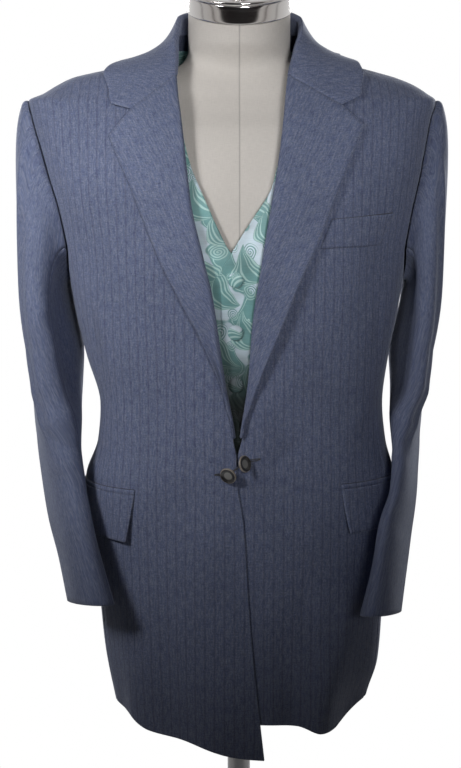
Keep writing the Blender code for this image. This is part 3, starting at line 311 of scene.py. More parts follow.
# Streaks of the threads: marks per metre across and along, detail and roughness
WEFT = (900, 260, 2.0, 0.6)
WARP = (420, 90, 2.0, 0.6)
SLUB = (700, 330, 3.0, 0.7)
CROSS = (110, 800, 2.0, 0.6)
SATIN = (60, 900, 2.0, 0.6)
LINEN_WARP = (1500, 120, 2.0, 0.6)
LINEN_WEFT = (120, 1500, 2.0, 0.6)
WIPED = (30, 300, 3.0, 0.6)
STRIPE_WANDER = 0.0006
FINE_STRIPES = 4
PAISLEY_SWAY = 0.012
# Outlines inside a drop, as share of its width, half width and soft edge
DROP_LINES = ((1.02, 0.05, 0.05), (0.74, 0.04, 0.05), (0.40, 0.04, 0.06))
CURL_STEP = 0.30
PAISLEY_CURLS = [
    # cell, shift of the cell, size, hand
    ((0.038, 0.047), (0.15, 0.40), 0.0095, 1),
    ((0.043, 0.039), (0.70, 0.85), 0.0075, -1),
]
PAISLEY_DROPS = [
    # cell, shift of the cell, angle, size, bend
    ((0.058, 0.074), (0.35, 0.15), 0.55, 0.0240, 0.55),
    ((0.058, 0.074), (0.85, 0.62), -2.40, 0.0210, -0.60),
]
# Painted shade: heights between which the waistcoat goes from nearly black to its clear colour, for the
# shade deep in the coat's closure
VEST_SHADE_DARKEST_Z = 1.045
VEST_SHADE_CLEAR_Z = 1.165

# Room, lights and camera
FLOOR_RADIUS = 1.45
FLOOR_CLEAR = 0.45
FLOOR_GLOW = 0.62
ROOM_SEEN = 1.0
ROOM_LIGHT = 0.06
ROOM_SHINE = 0.75
# Tones of the room from the front to the back: place and colour
ROOM_TONES = [(0.0, (0.01, 0.01, 0.01)), (0.19, (0.015, 0.012, 0.012)), (0.21, (0.62, 0.60, 0.58)),
              (0.28, (0.50, 0.48, 0.46)), (0.30, (0.06, 0.04, 0.04)), (0.33, (0.55, 0.53, 0.51)),
              (0.50, (0.62, 0.61, 0.60)), (0.52, (0.25, 0.24, 0.23)), (0.56, (0.66, 0.65, 0.64)),
              (1.0, (1.0, 1.0, 1.0))]
LAMPS = [
    # name, spot, aim, size, watts, spread in degrees
    ("key", (-0.92, -1.05, 1.76), (-0.33, 0.0, 1.24), 0.35, 1.55, 48.0),
    ("fill", (0.45, -2.25, 1.55), (0.16, 0.0, 1.47), 0.5, 1.35, 38.0),
    ("back_right", (-1.30, 2.20, 1.80), (0.0, 0.0, 1.10), 0.6, 4.5, 64.0),
    ("back_left", (1.30, 2.20, 1.80), (0.0, 0.0, 1.10), 0.6, 4.5, 64.0),
]
CAMERA_SPOT = (-0.0104, -2.3, 1.40)
CAMERA_DIP = 8.506
CAMERA_LENS = 89.35
CAMERA_SENSOR = 36.0


def hermite(t, start, leaving, end, arriving):
    """Smooth curve from start to end as t goes from 0 to 1, with its directions at both."""
    curve = (2 * t**3 - 3 * t**2 + 1) * start + (t**3 - 2 * t**2 + t) * leaving
    return curve + (3 * t**2 - 2 * t**3) * end + (t**3 - t**2) * arriving


def unit(vectors):
    """Vectors of the same direction, one long."""
    return vectors / np.maximum(np.linalg.norm(vectors, axis=-1, keepdims=True), TINY)


def away_from(degrees, middle):
    """Degrees from the middle, the short way round."""
    return (degrees - middle + 180.0) % 360.0 - 180.0


def smooth(rows):
    """Read a table smoothly: its first column is the key, and no reading overshoots a row."""
    data = np.array(sorted(rows), dtype=float)
    key = data[:, 0]
    value = data[:, 1:]
    step = np.diff(key)[:, None]
    rise = np.diff(value, axis=0) / step
    slope = np.zeros_like(value)
    slope[0] = rise[0]
    slope[-1] = rise[-1]
    before = rise[:-1]
    after = rise[1:]
    same = before * after > 0
    total = np.where(same, before + after, 1.0)
    slope[1:-1] = np.where(same, 2 * before * after / total, 0.0)

    def read(at):
        at = np.clip(np.asarray(at, dtype=float), key[0], key[-1])
        row = np.clip(np.searchsorted(key, at, side="right") - 1, 0, len(key) - 2)
        width = step[row, 0][..., None]
        t = (at[..., None] - key[row][..., None]) / width
        out = hermite(t, value[row], width * slope[row], value[row + 1], width * slope[row + 1])
        return [out[..., k] for k in range(out.shape[-1])]

    return read


def ramp(at, low, high):
    """0 at low, 1 at high, soft at both ends."""
    t = np.clip((np.asarray(at, dtype=float) - low) / (high - low), 0.0, 1.0)
    return t * t * (3 - 2 * t)


# Body surface of the coat: half widths to the wearer's right and left, front and back depth,
# squareness of the ring (2 is an ellipse)
COAT_RINGS = smooth([
    # z, right, left, front, back, square
    (0.600, 0.134, 0.134, 0.150, 0.170, 2.30),
    (0.680, 0.150, 0.153, 0.150, 0.167, 2.30),
    (0.720, 0.158, 0.167, 0.148, 0.162, 2.30),
    (0.775, 0.167, 0.174, 0.143, 0.155, 2.30),
    (0.840, 0.178, 0.179, 0.137, 0.147, 2.32),
    (0.900, 0.186, 0.187, 0.131, 0.137, 2.35),
    (0.945, 0.187, 0.188, 0.127, 0.124, 2.35),
    (0.990, 0.173, 0.178, 0.125, 0.109, 2.35),
    (1.036, 0.169, 0.174, 0.123, 0.098, 2.35),
    (1.095, 0.184, 0.182, 0.127, 0.104, 2.35),
    (1.150, 0.197, 0.192, 0.132, 0.114, 2.38),
    (1.220, 0.210, 0.203, 0.138, 0.124, 2.40),
    (1.280, 0.225, 0.214, 0.138, 0.129, 2.40),
    (1.340, 0.240, 0.224, 0.127, 0.126, 2.32),
    (1.375, 0.247, 0.229, 0.112, 0.117, 2.25),
    (1.398, 0.250, 0.234, 0.094, 0.107, 2.15),
    (1.406, 0.233, 0.224, 0.088, 0.103, 2.12),
    (1.416, 0.216, 0.208, 0.080, 0.099, 2.08),
    (1.425, 0.197, 0.186, 0.074, 0.096, 2.05),
    (1.431, 0.172, 0.165, 0.070, 0.094, 2.02),
    (1.436, 0.147, 0.146, 0.067, 0.092, 2.00),
    (1.4405, 0.125, 0.127, 0.065, 0.090, 2.00),
    (1.447, 0.104, 0.108, 0.062, 0.088, 2.00),
    (1.458, 0.088, 0.090, 0.058, 0.084, 2.00),
    (1.472, 0.079, 0.080, 0.053, 0.078, 2.00),
    (1.490, 0.072, 0.072, 0.050, 0.072, 2.00),
    (1.530, 0.066, 0.066, 0.048, 0.066, 2.00),
])

# Soft folds of the coat, as bulges of the body surface
COAT_FOLDS = [
    # angle, half angle, middle z, half height, depth
    (39, 7, 0.640, 0.120, 0.0060),
    (24, 7, 0.640, 0.120, -0.0050),
    (58, 9, 0.640, 0.130, -0.0050),
    (78, 9, 0.650, 0.150, 0.0060),
    (-32, 9, 0.640, 0.130, -0.0050),
    (-52, 9, 0.640, 0.130, 0.0050),
    (-76, 10, 0.650, 0.150, 0.0055),
    (128, 9, 0.640, 0.150, -0.0070),
    (146, 9, 0.640, 0.170, 0.0080),
    (168, 8, 0.640, 0.150, -0.0050),
    (-126, 9, 0.640, 0.150, -0.0060),
    (-144, 9, 0.640, 0.170, 0.0080),
    (-166, 8, 0.640, 0.150, -0.0050),
    (-14, 8, 1.030, 0.030, 0.0035),
    (12, 8, 1.040, 0.030, 0.0030),
    (60, 9, 1.230, 0.060, -0.0035),
    (-60, 9, 1.230, 0.060, -0.0035),
]

# Seams between front and side panel, and between side panel and back, as angles from the front
FRONT_SEAM = smooth([(0.620, 74.0), (0.900, 73.0), (1.030, 72.0), (1.120, 74.0), (ARMPIT_Z, 80.0)])
BACK_SEAM = smooth([(0.620, 107.0), (0.900, 109.0), (1.030, 110.0), (1.120, 108.0), (ARMPIT_Z, 104.0)])

# Armhole: one turn from the shoulder point, over the front, the armpit and the back. The side
# panel takes the shares between the two values
UNDER_ARM = (0.4, 0.6)
ARMHOLE = smooth([
    # turn, angle, z
    (0.00, 90.0, SHOULDER_Z),
    (0.06, 85.0, 1.382),
    (0.13, 81.5, 1.352),
    (0.20, 78.5, 1.312),
    (0.27, 76.0, 1.270),
    (0.34, 76.0, 1.230),
    (0.40, 80.0, 1.202),
    (0.50, 90.0, 1.182),
    (0.60, 104.0, 1.202),
    (0.66, 110.0, 1.230),
    (0.73, 112.5, 1.270),
    (0.80, 110.5, 1.312),
    (0.87, 105.0, 1.352),
    (0.94, 97.5, 1.382),
    (1.00, 90.0, SHOULDER_Z),
])

# Hem height by the angle from the front, the wearer's right negative
RIGHT_HEM = smooth([(-180, 0.670), (-110, 0.672), (-90, 0.672), (-58, 0.668), (-44, 0.655),
                    (-23, 0.649), (-2, 0.635), (11, 0.631), (20, 0.629)])
LEFT_HEM = smooth([(-20, 0.676), (9, 0.674), (27, 0.668), (38, 0.655), (48, 0.654), (56, 0.657),
                   (70, 0.673), (90, 0.680), (110, 0.677), (180, 0.670)])

# Front edge below the closure and roll line above it, as x by height
RIGHT_EDGE = smooth([
    (0.620, 0.0300), (0.678, 0.0235), (0.748, 0.0160), (0.817, 0.0106), (0.903, 0.0053),
    (0.964, -0.0030), (1.000, -0.0040), (1.075, -0.0165), (1.180, -0.0320), (1.220, -0.0416),
    (1.280, -0.0550), (1.363, -0.0655), (1.425, -0.0735), (NECK_POINT_Z, -0.0790),
])
LEFT_EDGE = smooth([
    (0.620, -0.0180), (0.750, -0.0180), (0.900, -0.0140), (0.955, -0.0060), (1.000, -0.0010),
    (1.078, 0.0103), (1.146, 0.0155), (1.214, 0.0253), (1.274, 0.0349), (1.326, 0.0433),
    (1.372, 0.0500), (1.425, 0.0560), (NECK_POINT_Z, 0.0800),
])

# Lapel outlines: outer edge from the closure to the point
RIGHT_LAPEL = smooth([
    # share of the length, x, z
    (0.00, -0.0040, 1.000), (0.12, -0.0120, 1.038), (0.28, -0.0250, 1.087), (0.42, -0.0453, 1.133),
    (0.57, -0.0725, 1.185), (0.71, -0.0985, 1.240), (0.87, -0.1257, 1.307), (1.00, -0.1480, 1.358),
])
LEFT_LAPEL = smooth([
    (0.00, 0.0020, 1.000), (0.12, 0.0110, 1.041), (0.26, 0.0235, 1.083), (0.39, 0.0423, 1.129),
    (0.57, 0.0687, 1.197), (0.71, 0.0919, 1.247), (0.87, 0.1185, 1.313), (1.00, 0.1418, 1.369),
])

# Gorge seam from the roll line to the notch, then the lapel's point and the collar's point
RIGHT_GORGE = {"roll": (-0.0735, 1.425), "notch": (-0.1243, 1.386), "lapel": (-0.1480, 1.358),
               "collar": (-0.1466, 1.392)}
LEFT_GORGE = {"roll": (0.0560, 1.425), "notch": (0.1163, 1.391), "lapel": (0.1418, 1.369),
              "collar": (0.1387, 1.401)}
GORGE_SHARES = (0.0, 0.10, 0.30, 0.54, 0.78, 1.0)

# Collar from the centre back to the gorge: angle and height of the neck seam and of the outer
# edge on the body surface, and how far the roll stands off the neck seam: out, forward and up
COLLAR = smooth([
    # share, seam angle, seam z, edge angle, edge z, out, forward, up
    (0.00, 180.0, 1.482, 180.0, 1.4690, 0.003, 0.000, 0.028),
    (0.25, 140.0, 1.480, 141.0, 1.4600, 0.002, 0.000, 0.026),
    (0.45, 108.0, 1.477, 107.0, 1.4500, -0.001, 0.000, 0.021),
    (0.60, 90.0, NECK_POINT_Z, 90.0, 1.4420, -0.003, 0.002, 0.013),
    (0.75, 70.0, 1.4620, 77.0, 1.4315, 0.000, 0.004, 0.010),
    (0.88, 58.0, 1.4440, 68.0, 1.4150, 0.000, 0.004, 0.009),
    (1.00, 48.0, 1.4250, 61.0, 1.3960, 0.000, 0.000, 0.000),
])

# Sleeves: level sections from the upper arm to the cuff
RIGHT_SLEEVE = smooth([
    # z, centre x, centre y, thin half, deep half, turn, slope of the section
    (1.150, 0.2325, 0.0060, 0.0285, 0.0800, -6, 0.00),
    (1.100, 0.2230, 0.0055, 0.0290, 0.0765, -8, 0.00),
    (1.056, 0.2215, 0.0050, 0.0295, 0.0740, -2, 0.00),
    (1.020, 0.2210, -0.0005, 0.0290, 0.0725, 6, 0.02),
    (0.985, 0.2195, -0.0100, 0.0245, 0.0710, 13, 0.05),
    (0.945, 0.2135, -0.0275, 0.0210, 0.0690, 18, 0.09),
    (0.900, 0.2035, -0.0560, 0.0200, 0.0670, 19, 0.15),
    (0.855, 0.1895, -0.0805, 0.0215, 0.0635, 17, 0.18),
    (RIGHT_CUFF_Z, 0.1760, -0.1060, 0.0240, 0.0610, 17, 0.20),
])
LEFT_SLEEVE = smooth([
    (1.150, 0.2205, 0.0060, 0.0235, 0.0800, 0, 0.00),
    (1.100, 0.2080, 0.0060, 0.0205, 0.0770, -6, 0.00),
    (1.056, 0.2070, 0.0040, 0.0210, 0.0740, -1, 0.00),
    (1.020, 0.2035, -0.0015, 0.0195, 0.0725, 7, 0.02),
    (0.985, 0.2035, -0.0120, 0.0140, 0.0710, 12, 0.05),
    (0.945, 0.1995, -0.0440, 0.0115, 0.0690, 14, 0.10),
    (0.900, 0.1880, -0.0760, 0.0125, 0.0670, 18, 0.15),
    (0.850, 0.1780, -0.0980, 0.0150, 0.0640, 18, 0.18),
    (LEFT_CUFF_Z, 0.1670, -0.1180, 0.0195, 0.0600, 18, 0.20),
])
SLEEVE_SQUARE = 2.3
SLEEVE_TOP_Z = 1.150
CAP_ROWS = 36
SLEEVE_ROWS = 60
FRONT_SLEEVE_SEAM = 42
HIND_SLEEVE_SEAM = 84

# Pockets on the fronts: x and z of the corners as seen from the front
HIP_FLAPS = {
    "right": {"top": (-0.1229, 0.939), "foot": (-0.1276, 0.885), "width": 0.150, "drop": 0.001},
    "left": {"top": (0.1202, 0.946), "foot": (0.1267, 0.895), "width": 0.150, "drop": 0.001},
}
BREAST_WELT = {"low": (0.0920, 1.2315), "low_end": (0.1650, 1.233),
               "high": (0.1050, 1.2637), "high_end": (0.1795, 1.269)}

# Waistcoat edges, as x by height, its hem by angle and its armhole from the side seam up
VEST_RIGHT_EDGE = smooth([
    (0.900, 0.0130), (1.180, 0.0130), (1.205, 0.0080), (1.225, -0.0098), (1.257, -0.0269),
    (1.307, -0.0484), (1.326, -0.0564), (1.363, -0.0657), (1.400, -0.0720), (1.430, -0.0780),
    (1.462, -0.0860),
])
VEST_LEFT_EDGE = smooth([
    (0.900, -0.0215), (1.180, -0.0215), (1.205, -0.0200), (1.225, -0.0098), (1.260, 0.0118),
    (1.280, 0.0254), (1.300, 0.0367), (1.326, 0.0436), (1.363, 0.0540), (1.400, 0.0640),
    (1.430, 0.0740), (1.462, 0.0885),
])
VEST_HEM = smooth([(0, 0.926), (18, 0.908), (50, 0.945), (90, 0.955), (180, 0.960)])
VEST_ARMHOLE = smooth([
    # share, angle in front, angle behind, z
    (0.00, 90.0, 90.0, VEST_SIDE_Z), (0.20, 73.0, 103.0, 1.195), (0.45, 62.0, 111.0, 1.270),
    (0.70, 63.0, 111.0, 1.350), (0.88, 74.0, 103.0, 1.405), (1.00, 90.0, 90.0, 1.430),
])
VEST_EDGE = (0.0006, 0.0016)
VEST_LAP = 0.0019
VEST_LAP_TURN = (12, 22)
VEST_ROWS = 54
VEST_ARM_ROWS = 36
VEST_COLUMNS = 42
VEST_BACK_SETTLING = 2160


# Creases of the coat, as lines on the body surface: start and end by angle and height, half width
# and depth in metres
COAT_CREASES = [
    # angle, z, angle, z, width, depth
    (-16, 0.975, -40, 1.010, 0.0070, -0.0016),
    (-14, 0.965, -44, 0.968, 0.0080, 0.0014),
    (-13, 0.955, -36, 0.915, 0.0080, -0.0013),
    (14, 0.975, 38, 1.012, 0.0080, -0.0015),
    (15, 0.965, 44, 0.960, 0.0080, 0.0013),
    (12, 0.950, 34, 0.905, 0.0080, -0.0012),
    (-70, 1.090, -66, 1.170, 0.0045, -0.0022),
    (-64, 1.080, -61, 1.165, 0.0045, 0.0018),
    (66, 1.100, 62, 1.180, 0.0050, -0.0020),
    (-52, 1.020, -68, 1.040, 0.0080, 0.0014),
    (52, 1.015, 70, 1.045, 0.0080, 0.0014),
    (-30, 0.870, -36, 0.720, 0.0110, -0.0014),
    (-48, 0.860, -44, 0.700, 0.0120, 0.0016),
    (30, 0.860, 34, 0.700, 0.0110, -0.0014),
    (50, 0.870, 47, 0.720, 0.0120, 0.0015),
    (150, 1.060, 172, 1.040, 0.0100, 0.0014),
    (-150, 1.060, -172, 1.040, 0.0100, 0.0014),
    (135, 1.010, 160, 1.000, 0.0110, -0.0014),
    (-135, 1.010, -160, 1.000, 0.0110, -0.0014),
    (120, 1.160, 132, 1.080, 0.0110, -0.0014),
    (-120, 1.160, -132, 1.080, 0.0110, -0.0014),
]

# Waves that keep the cloth from looking pressed flat: waves round the body, waves per metre of
# height, phase and depth
COAT_WAVES = [
    (5, 3.1, 0.4, 0.0007),
    (9, -4.3, 1.9, 0.0005),
    (13, 6.2, 3.1, 0.0003),
    (17, -9.1, 5.0, 0.0002),
]


def fold_depth(angle, z):
    """Sum of the soft folds, creases and waves at a place of the body surface, angle in radians."""
    degrees = np.degrees(angle)
    total = np.zeros(np.broadcast(degrees, z).shape)
    for middle, half, height, reach, depth in COAT_FOLDS:
        across = away_from(degrees, middle)
        total = total + depth * np.exp(-(across / half)**2 - ((z - height) / reach)**2)
    for first, low, last, high, width, depth in COAT_CREASES:
        across = away_from(degrees, first) * MEAN_RADIUS * math.pi / 180
        upward = z - low
        along = np.array([(last - first) * MEAN_RADIUS * math.pi / 180, high - low])
        length = np.linalg.norm(along)
        share = (across * along[0] + upward * along[1]) / length**2
        away = np.abs(across * along[1] - upward * along[0]) / length
        fade = ramp(share, -0.10, 0.35) * (1 - ramp(share, 0.65, 1.10))
        total = total + depth * fade * np.exp(-(away / width)**2)
    for turns, rise, phase, depth in COAT_WAVES:
        total = total + depth * np.sin(turns * angle + 2 * math.pi * rise * z + phase)
    return total


def ring_radius(rings, angle, z):
    """Distance of the ring from the middle axis, in the direction of the angle."""
    right, left, front, back, square = rings(z)
    side = np.where(np.sin(angle) > 0, left, right)
    depth = np.where(np.cos(angle) > 0, front, back)
    across = np.abs(np.sin(angle)) / side
    along = np.abs(np.cos(angle)) / depth
    return (across**square + along**square)**(-1.0 / square)


def coat_radius(angle, z):
    return ring_radius(COAT_RINGS, angle, z) + fold_depth(angle, z)


def on_body(angle, z, out=0.0, radius=coat_radius):
    """Points and outward normals of a body surface, moved out along the normals."""
    angle = np.asarray(angle, dtype=float)
    z = np.asarray(z, dtype=float)

    def place(a, h):
        r = radius(a, h)
        return np.stack([r * np.sin(a), -r * np.cos(a), h + 0.0 * a], axis=-1)

    turn = 0.004
    lift = 0.0008
    around = place(angle + turn, z) - place(angle - turn, z)
    upward = place(angle, z + lift) - place(angle, z - lift)
    normal = unit(np.cross(around, upward))
    return place(angle, z) + normal * np.asarray(out)[..., None], normal


RIDGE_Z = np.concatenate([[0.5, SHOULDER_Z], np.linspace(SHOULDER_Z, 1.53, 45)[1:]])
RIDGE_X = np.mean(COAT_RINGS(RIDGE_Z)[:2], axis=0)
RIDGE_X[0] = RIDGE_X[1]
RIDGE_REACH = 0.5 + np.concatenate([[0.0], np.cumsum(np.hypot(np.diff(RIDGE_Z), np.diff(RIDGE_X)))])


def to_reach(line):
    """Change heights to the length walked up the side and along the shoulder."""
    line = np.array(line, dtype=float)
    line[..., 1] = np.interp(line[..., 1], RIDGE_Z, RIDGE_REACH)
    return line


def to_height(line):
    line = np.array(line, dtype=float)
    line[..., 1] = np.interp(line[..., 1], RIDGE_REACH, RIDGE_Z)
    return line


def front_angle(x, z, rings=COAT_RINGS):
    """Angle at which the front of a ring reaches x."""
    right, left, front, _, square = rings(z)
    side = np.where(x > 0, left, right)
    share = np.clip(np.abs(x) / side, 0.0, 1.0)
    return np.arctan2(x, front * (1 - share**square)**(1 / square))


def blend_edges(left, right, bottom, top, shares=None, settling=0):
    """Angles and heights over a four-sided piece from its edges; rows run from bottom to top.
    In each step of settling, the inner points move to the middle of their neighbours."""
    v = np.linspace(0, 1, len(left))[:, None, None]
    s = np.linspace(0, 1, len(bottom))[None, :, None] if shares is None else shares[None, :, None]
    left = to_reach(left)[:, None, :]
    right = to_reach(right)[:, None, :]
    bottom = to_reach(bottom)[None, :, :]
    top = to_reach(top)[None, :, :]
    corners = (1 - s) * (1 - v) * bottom[:, :1] + s * (1 - v) * bottom[:, -1:]
    corners = corners + (1 - s) * v * top[:, :1] + s * v * top[:, -1:]
    grid = (1 - s) * left + s * right + (1 - v) * bottom + v * top - corners
    for _ in range(settling):
        beside = grid[1:-1, :-2] + grid[1:-1, 2:]
        grid[1:-1, 1:-1] = (beside + grid[:-2, 1:-1] + grid[2:, 1:-1]) / 4
    return to_height(grid)


def draw_in(points, gap, edges="lrbt"):
    """Move the edges of a grid inward, so that a gap stays to the pieces beside it."""
    moved = points.copy()

    if "l" in edges:
        moved[:, 0] += unit(points[:, 1] - points[:, 0]) * gap
    if "r" in edges:
        moved[:, -1] += unit(points[:, -2] - points[:, -1]) * gap
    if "b" in edges:
        moved[0] += unit(points[1] - points[0]) * gap
    if "t" in edges:
        moved[-1] += unit(points[-2] - points[-1]) * gap
    return moved


def grid_normals(points, closed=False):
    """Normals of a grid from its own rows and columns; closed joins the last column to the first."""
    upward = np.gradient(points, axis=0)
    if closed:
        around = np.roll(points, -1, axis=1) - np.roll(points, 1, axis=1)
    else:
        around = np.gradient(points, axis=1)
    return unit(np.cross(around, upward))


def around(angle, z):
    """Length along the level ring, from the middle of the front to the angle."""
    row = (np.asarray(z) - ARC_Z[0]) / (ARC_Z[1] - ARC_Z[0])
    column = (np.asarray(angle) - ARC_ANGLES[0]) / (ARC_ANGLES[1] - ARC_ANGLES[0])
    row = np.clip(row, 0, len(ARC_Z) - 1.001)
    column = np.clip(column, 0, len(ARC_ANGLES) - 1.001)
    r = row.astype(int)
    c = column.astype(int)
    up = row - r
    on = column - c
    low = ARC_LENGTHS[r, c] * (1 - on) + ARC_LENGTHS[r, c + 1] * on
    high = ARC_LENGTHS[r + 1, c] * (1 - on) + ARC_LENGTHS[r + 1, c + 1] * on
    return low * (1 - up) + high * up


def arc_lengths(angles, heights):
    """Table of lengths along the level rings, one row for each height."""
    angle, z = np.meshgrid(angles, heights)
    radius = ring_radius(COAT_RINGS, angle, z)
    steps = np.hypot(np.diff(radius * np.sin(angle), axis=1), np.diff(radius * np.cos(angle), axis=1))
    length = np.concatenate([np.zeros((len(heights), 1)), np.cumsum(steps, axis=1)], axis=1)
    return length - length[:, len(angles) // 2][:, None]


ARC_Z = np.linspace(0.60, 1.53, 187)
ARC_ANGLES = np.linspace(-math.pi, math.pi, 361)
ARC_LENGTHS = arc_lengths(ARC_ANGLES, ARC_Z)


def grain(angle, z):
    """Place of each point on the cloth: across and along the stripes, in metres."""
    return np.stack([around(angle, z), np.interp(z, RIDGE_Z, RIDGE_REACH)], axis=-1)


def lengths_along(points, axis):
    """Length walked along each row or column of a grid, from its first point."""
    steps = np.linalg.norm(np.diff(points, axis=axis), axis=-1)
    start = np.zeros_like(np.take(steps, [0], axis=axis))
    return np.concatenate([start, np.cumsum(steps, axis=axis)], axis=axis)


def resample(grid, rows, columns):
    """Read a grid at row and column numbers that need not be whole."""
    r = np.clip(np.floor(rows).astype(int), 0, grid.shape[0] - 2)
    c = np.clip(np.floor(columns).astype(int), 0, grid.shape[1] - 2)
    up = (rows - r)[:, None, None]
    on = (columns - c)[None, :, None]
    low = grid[r][:, c] * (1 - on) + grid[r][:, c + 1] * on
    high = grid[r + 1][:, c] * (1 - on) + grid[r + 1][:, c + 1] * on
    return low * (1 - up) + high * up


def finer_ends(count):
    """Numbers of the rows or columns, with three more beside each end for a soft edge."""
    extra = np.array(END_SHARES)
    return np.sort(np.concatenate([np.arange(count), extra, count - 1 - extra]))


def finer_edges(grid):
    return resample(grid, finer_ends(grid.shape[0]), finer_ends(grid.shape[1]))


def edge_distance(points, edges):
    """Distance of each point from the nearest of the named edges."""
    across = lengths_along(points, 1)
    upward = lengths_along(points, 0)
    away = {"l": across, "r": across[:, -1:] - across, "b": upward, "t": upward[-1:] - upward}
    nearest = np.full(points.shape[:2], 1.0)
    for edge in edges:
        nearest = np.minimum(nearest, away[edge])
    return nearest


def sink_seams(points, normals, edges, depth=SEAM_DIP, reach=SEAM_REACH):
    """Points let down softly toward the seams at the named edges."""
    near = np.clip(1 - edge_distance(points, edges) / reach, 0.0, 1.0)
    return points - normals * (depth * near**2)[..., None]


def mesh_object(name, vertices, faces, uv, surface, weld=0.0):
    """Mesh with one map in metres of cloth, facing outward and shaded smooth."""
    data = bpy.data.meshes.new(name)
    data.from_pydata([tuple(v) for v in vertices], [], [tuple(f) for f in faces])
    layer = data.uv_layers.new(name="Cloth")
    corners = np.empty(len(data.loops), dtype=np.int32)
    data.loops.foreach_get("vertex_index", corners)
    layer.data.foreach_set("uv", np.asarray(uv)[corners].astype(np.float32).ravel())
    mesh = bmesh.new()
    mesh.from_mesh(data)
    if weld:
        bmesh.ops.remove_doubles(mesh, verts=mesh.verts, dist=weld)
    bmesh.ops.recalc_face_normals(mesh, faces=mesh.faces)
    mesh.to_mesh(data)
    mesh.free()
    data.shade_smooth()
    data.materials.append(surface)
    item = bpy.data.objects.new(name, data)
    bpy.context.scene.collection.objects.link(item)
    return item


def numbered(rows, columns):
    """Numbers of a grid's points, and the faces between them."""
    number = np.arange(rows * columns).reshape(rows, columns)
    quads = np.stack([number[:-1, :-1], number[:-1, 1:], number[1:, 1:], number[1:, :-1]], axis=-1)
    return number, quads.reshape(-1, 4)


def ring_of(number):
    """Numbers of a grid's edge points in one round, and of the points just inside them."""
    edge = [number[0, :-1], number[:-1, -1], number[-1, :0:-1], number[:0:-1, 0]]
    core = np.pad(number[1:-1, 1:-1], 1, mode="edge")
    inner = [core[0, :-1], core[:-1, -1], core[-1, :0:-1], core[:0:-1, 0]]
    return np.concatenate(edge), np.concatenate(inner)


def wall_piece(name, outer, inner, uv, surface):
    """Closed wall of cloth between two grids, with a rounded edge all round."""
    number, quads = numbered(*outer.shape[:2])
    count = number.size
    edge, core = ring_of(number)
    flat_out = outer.reshape(-1, 3)
    flat_in = inner.reshape(-1, 3)
    middle = (flat_out[edge] + flat_in[edge]) / 2
    away = unit(middle - (flat_out[core] + flat_in[core]) / 2)
    thick = np.linalg.norm(flat_out[edge] - flat_in[edge], axis=-1, keepdims=True)
    middle = middle + away * thick * RIM_BULGE
    rim = 2 * count + np.arange(len(edge))
    after = np.roll(np.arange(len(edge)), -1)
    upper = np.stack([edge, edge[after], rim[after], rim], axis=-1)
    lower = np.stack([rim, rim[after], count + edge[after], count + edge], axis=-1)
    faces = np.concatenate([quads, quads[:, ::-1] + count, upper, lower])
    vertices = np.concatenate([flat_out, flat_in, middle])
    flat_uv = uv.reshape(-1, 2)
    return mesh_object(name, vertices, faces, np.concatenate([flat_uv, flat_uv, flat_uv[edge]]), surface)


def flat_cut(points):
    """Width, length and area of the flat cloth that a grid shows."""
    width = float(lengths_along(points, 1)[:, -1].max())
    length = float(lengths_along(points, 0)[-1].max())
    across = points[:-1, 1:] - points[:-1, :-1]
    upward = points[1:, :-1] - points[:-1, :-1]
    beyond = points[1:, 1:] - points[1:, :-1]
    below = points[1:, 1:] - points[:-1, 1:]
    area = np.linalg.norm(np.cross(across, upward), axis=-1).sum() / 2
    area = float(area + np.linalg.norm(np.cross(beyond, below), axis=-1).sum() / 2)
    return (width, length), min(area, width * length)


def dressed(piece, node, flat=None):
    """Hang a piece on the root in the place of its solid, if it has one, and hide that solid; flat is
    not used.
    """
    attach(piece, "root")
    if node:
        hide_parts(node)
    return piece


def cloth_piece(node, points, normals, thick, uv, surface, edges="lrbt", gap=SEAM_GAP):
    """Piece of cloth under a grid of outer points, a seam gap short of its neighbours."""
    outer = draw_in(points, gap, edges)
    piece = wall_piece(node + "_piece", outer, outer - normals * thick, uv, surface)
    flat = flat_cut(outer)
    return dressed(piece, node, flat if min(flat[0]) > SMALLEST_SHEET else None)


def turned(node, profile, sides, surface, centre=(0, 0, 0), tilt=(0, 0, 0), flat=False):
    """Solid of revolution about its own +Z from (radius, height) points; ends on the axis.
    Its map holds the radius and the length along the profile, or is flat as seen from above."""
    turns = 2 * math.pi * np.arange(sides) / sides
    vertices = []
    rings = []
    uv = []
    walked = 0.0
    previous = profile[0]
    for radius, height in profile:
        walked += math.hypot(radius - previous[0], height - previous[1])
        previous = (radius, height)
        first = len(vertices)
        if radius == 0:
            vertices.append((0.0, 0.0, height))
            uv.append((centre[0], centre[2]) if flat else (0.0, walked))
            rings.append([first] * sides)
            continue
        for a in turns:
            vertices.append((radius * math.cos(a), radius * math.sin(a), height))
            spread = (centre[0] + radius * math.cos(a), centre[2] + radius * math.sin(a))
            uv.append(spread if flat else (radius, walked))
        rings.append(list(range(first, first + sides)))
    faces = []
    for low, high in zip(rings, rings[1:]):
        for k in range(sides):
            n = (k + 1) % sides
            corners = [low[k], low[n], high[n], high[k]]
            faces.append([c for i, c in enumerate(corners) if c not in corners[:i]])
    item = mesh_object(node + "_piece", np.array(vertices), faces, np.array(uv), surface)
    item.data.set_sharp_from_angle(angle=SHARP_EDGE)
    item.location = centre
    item.rotation_euler = tilt
    dressed(item, node)


def sized(profile, radius, height):
    """Profile in metres from its shares."""
    return [(out * radius, up * height) for out, up in profile]


def rounded(profile, steps=5):
    """Profile with soft corners: each inner corner becomes a short curve."""
    points = [np.array(p, dtype=float) for p in profile]
    soft = [tuple(points[0])]
    for before, corner, after in zip(points, points[1:], points[2:]):
        start = corner + (before - corner) * CORNER_SHARE
        end = corner + (after - corner) * CORNER_SHARE
        for t in np.linspace(0, 1, steps):
            soft.append(tuple(start * (1 - t)**2 + corner * 2 * t * (1 - t) + end * t**2))
    soft.append(tuple(points[-1]))
    return soft


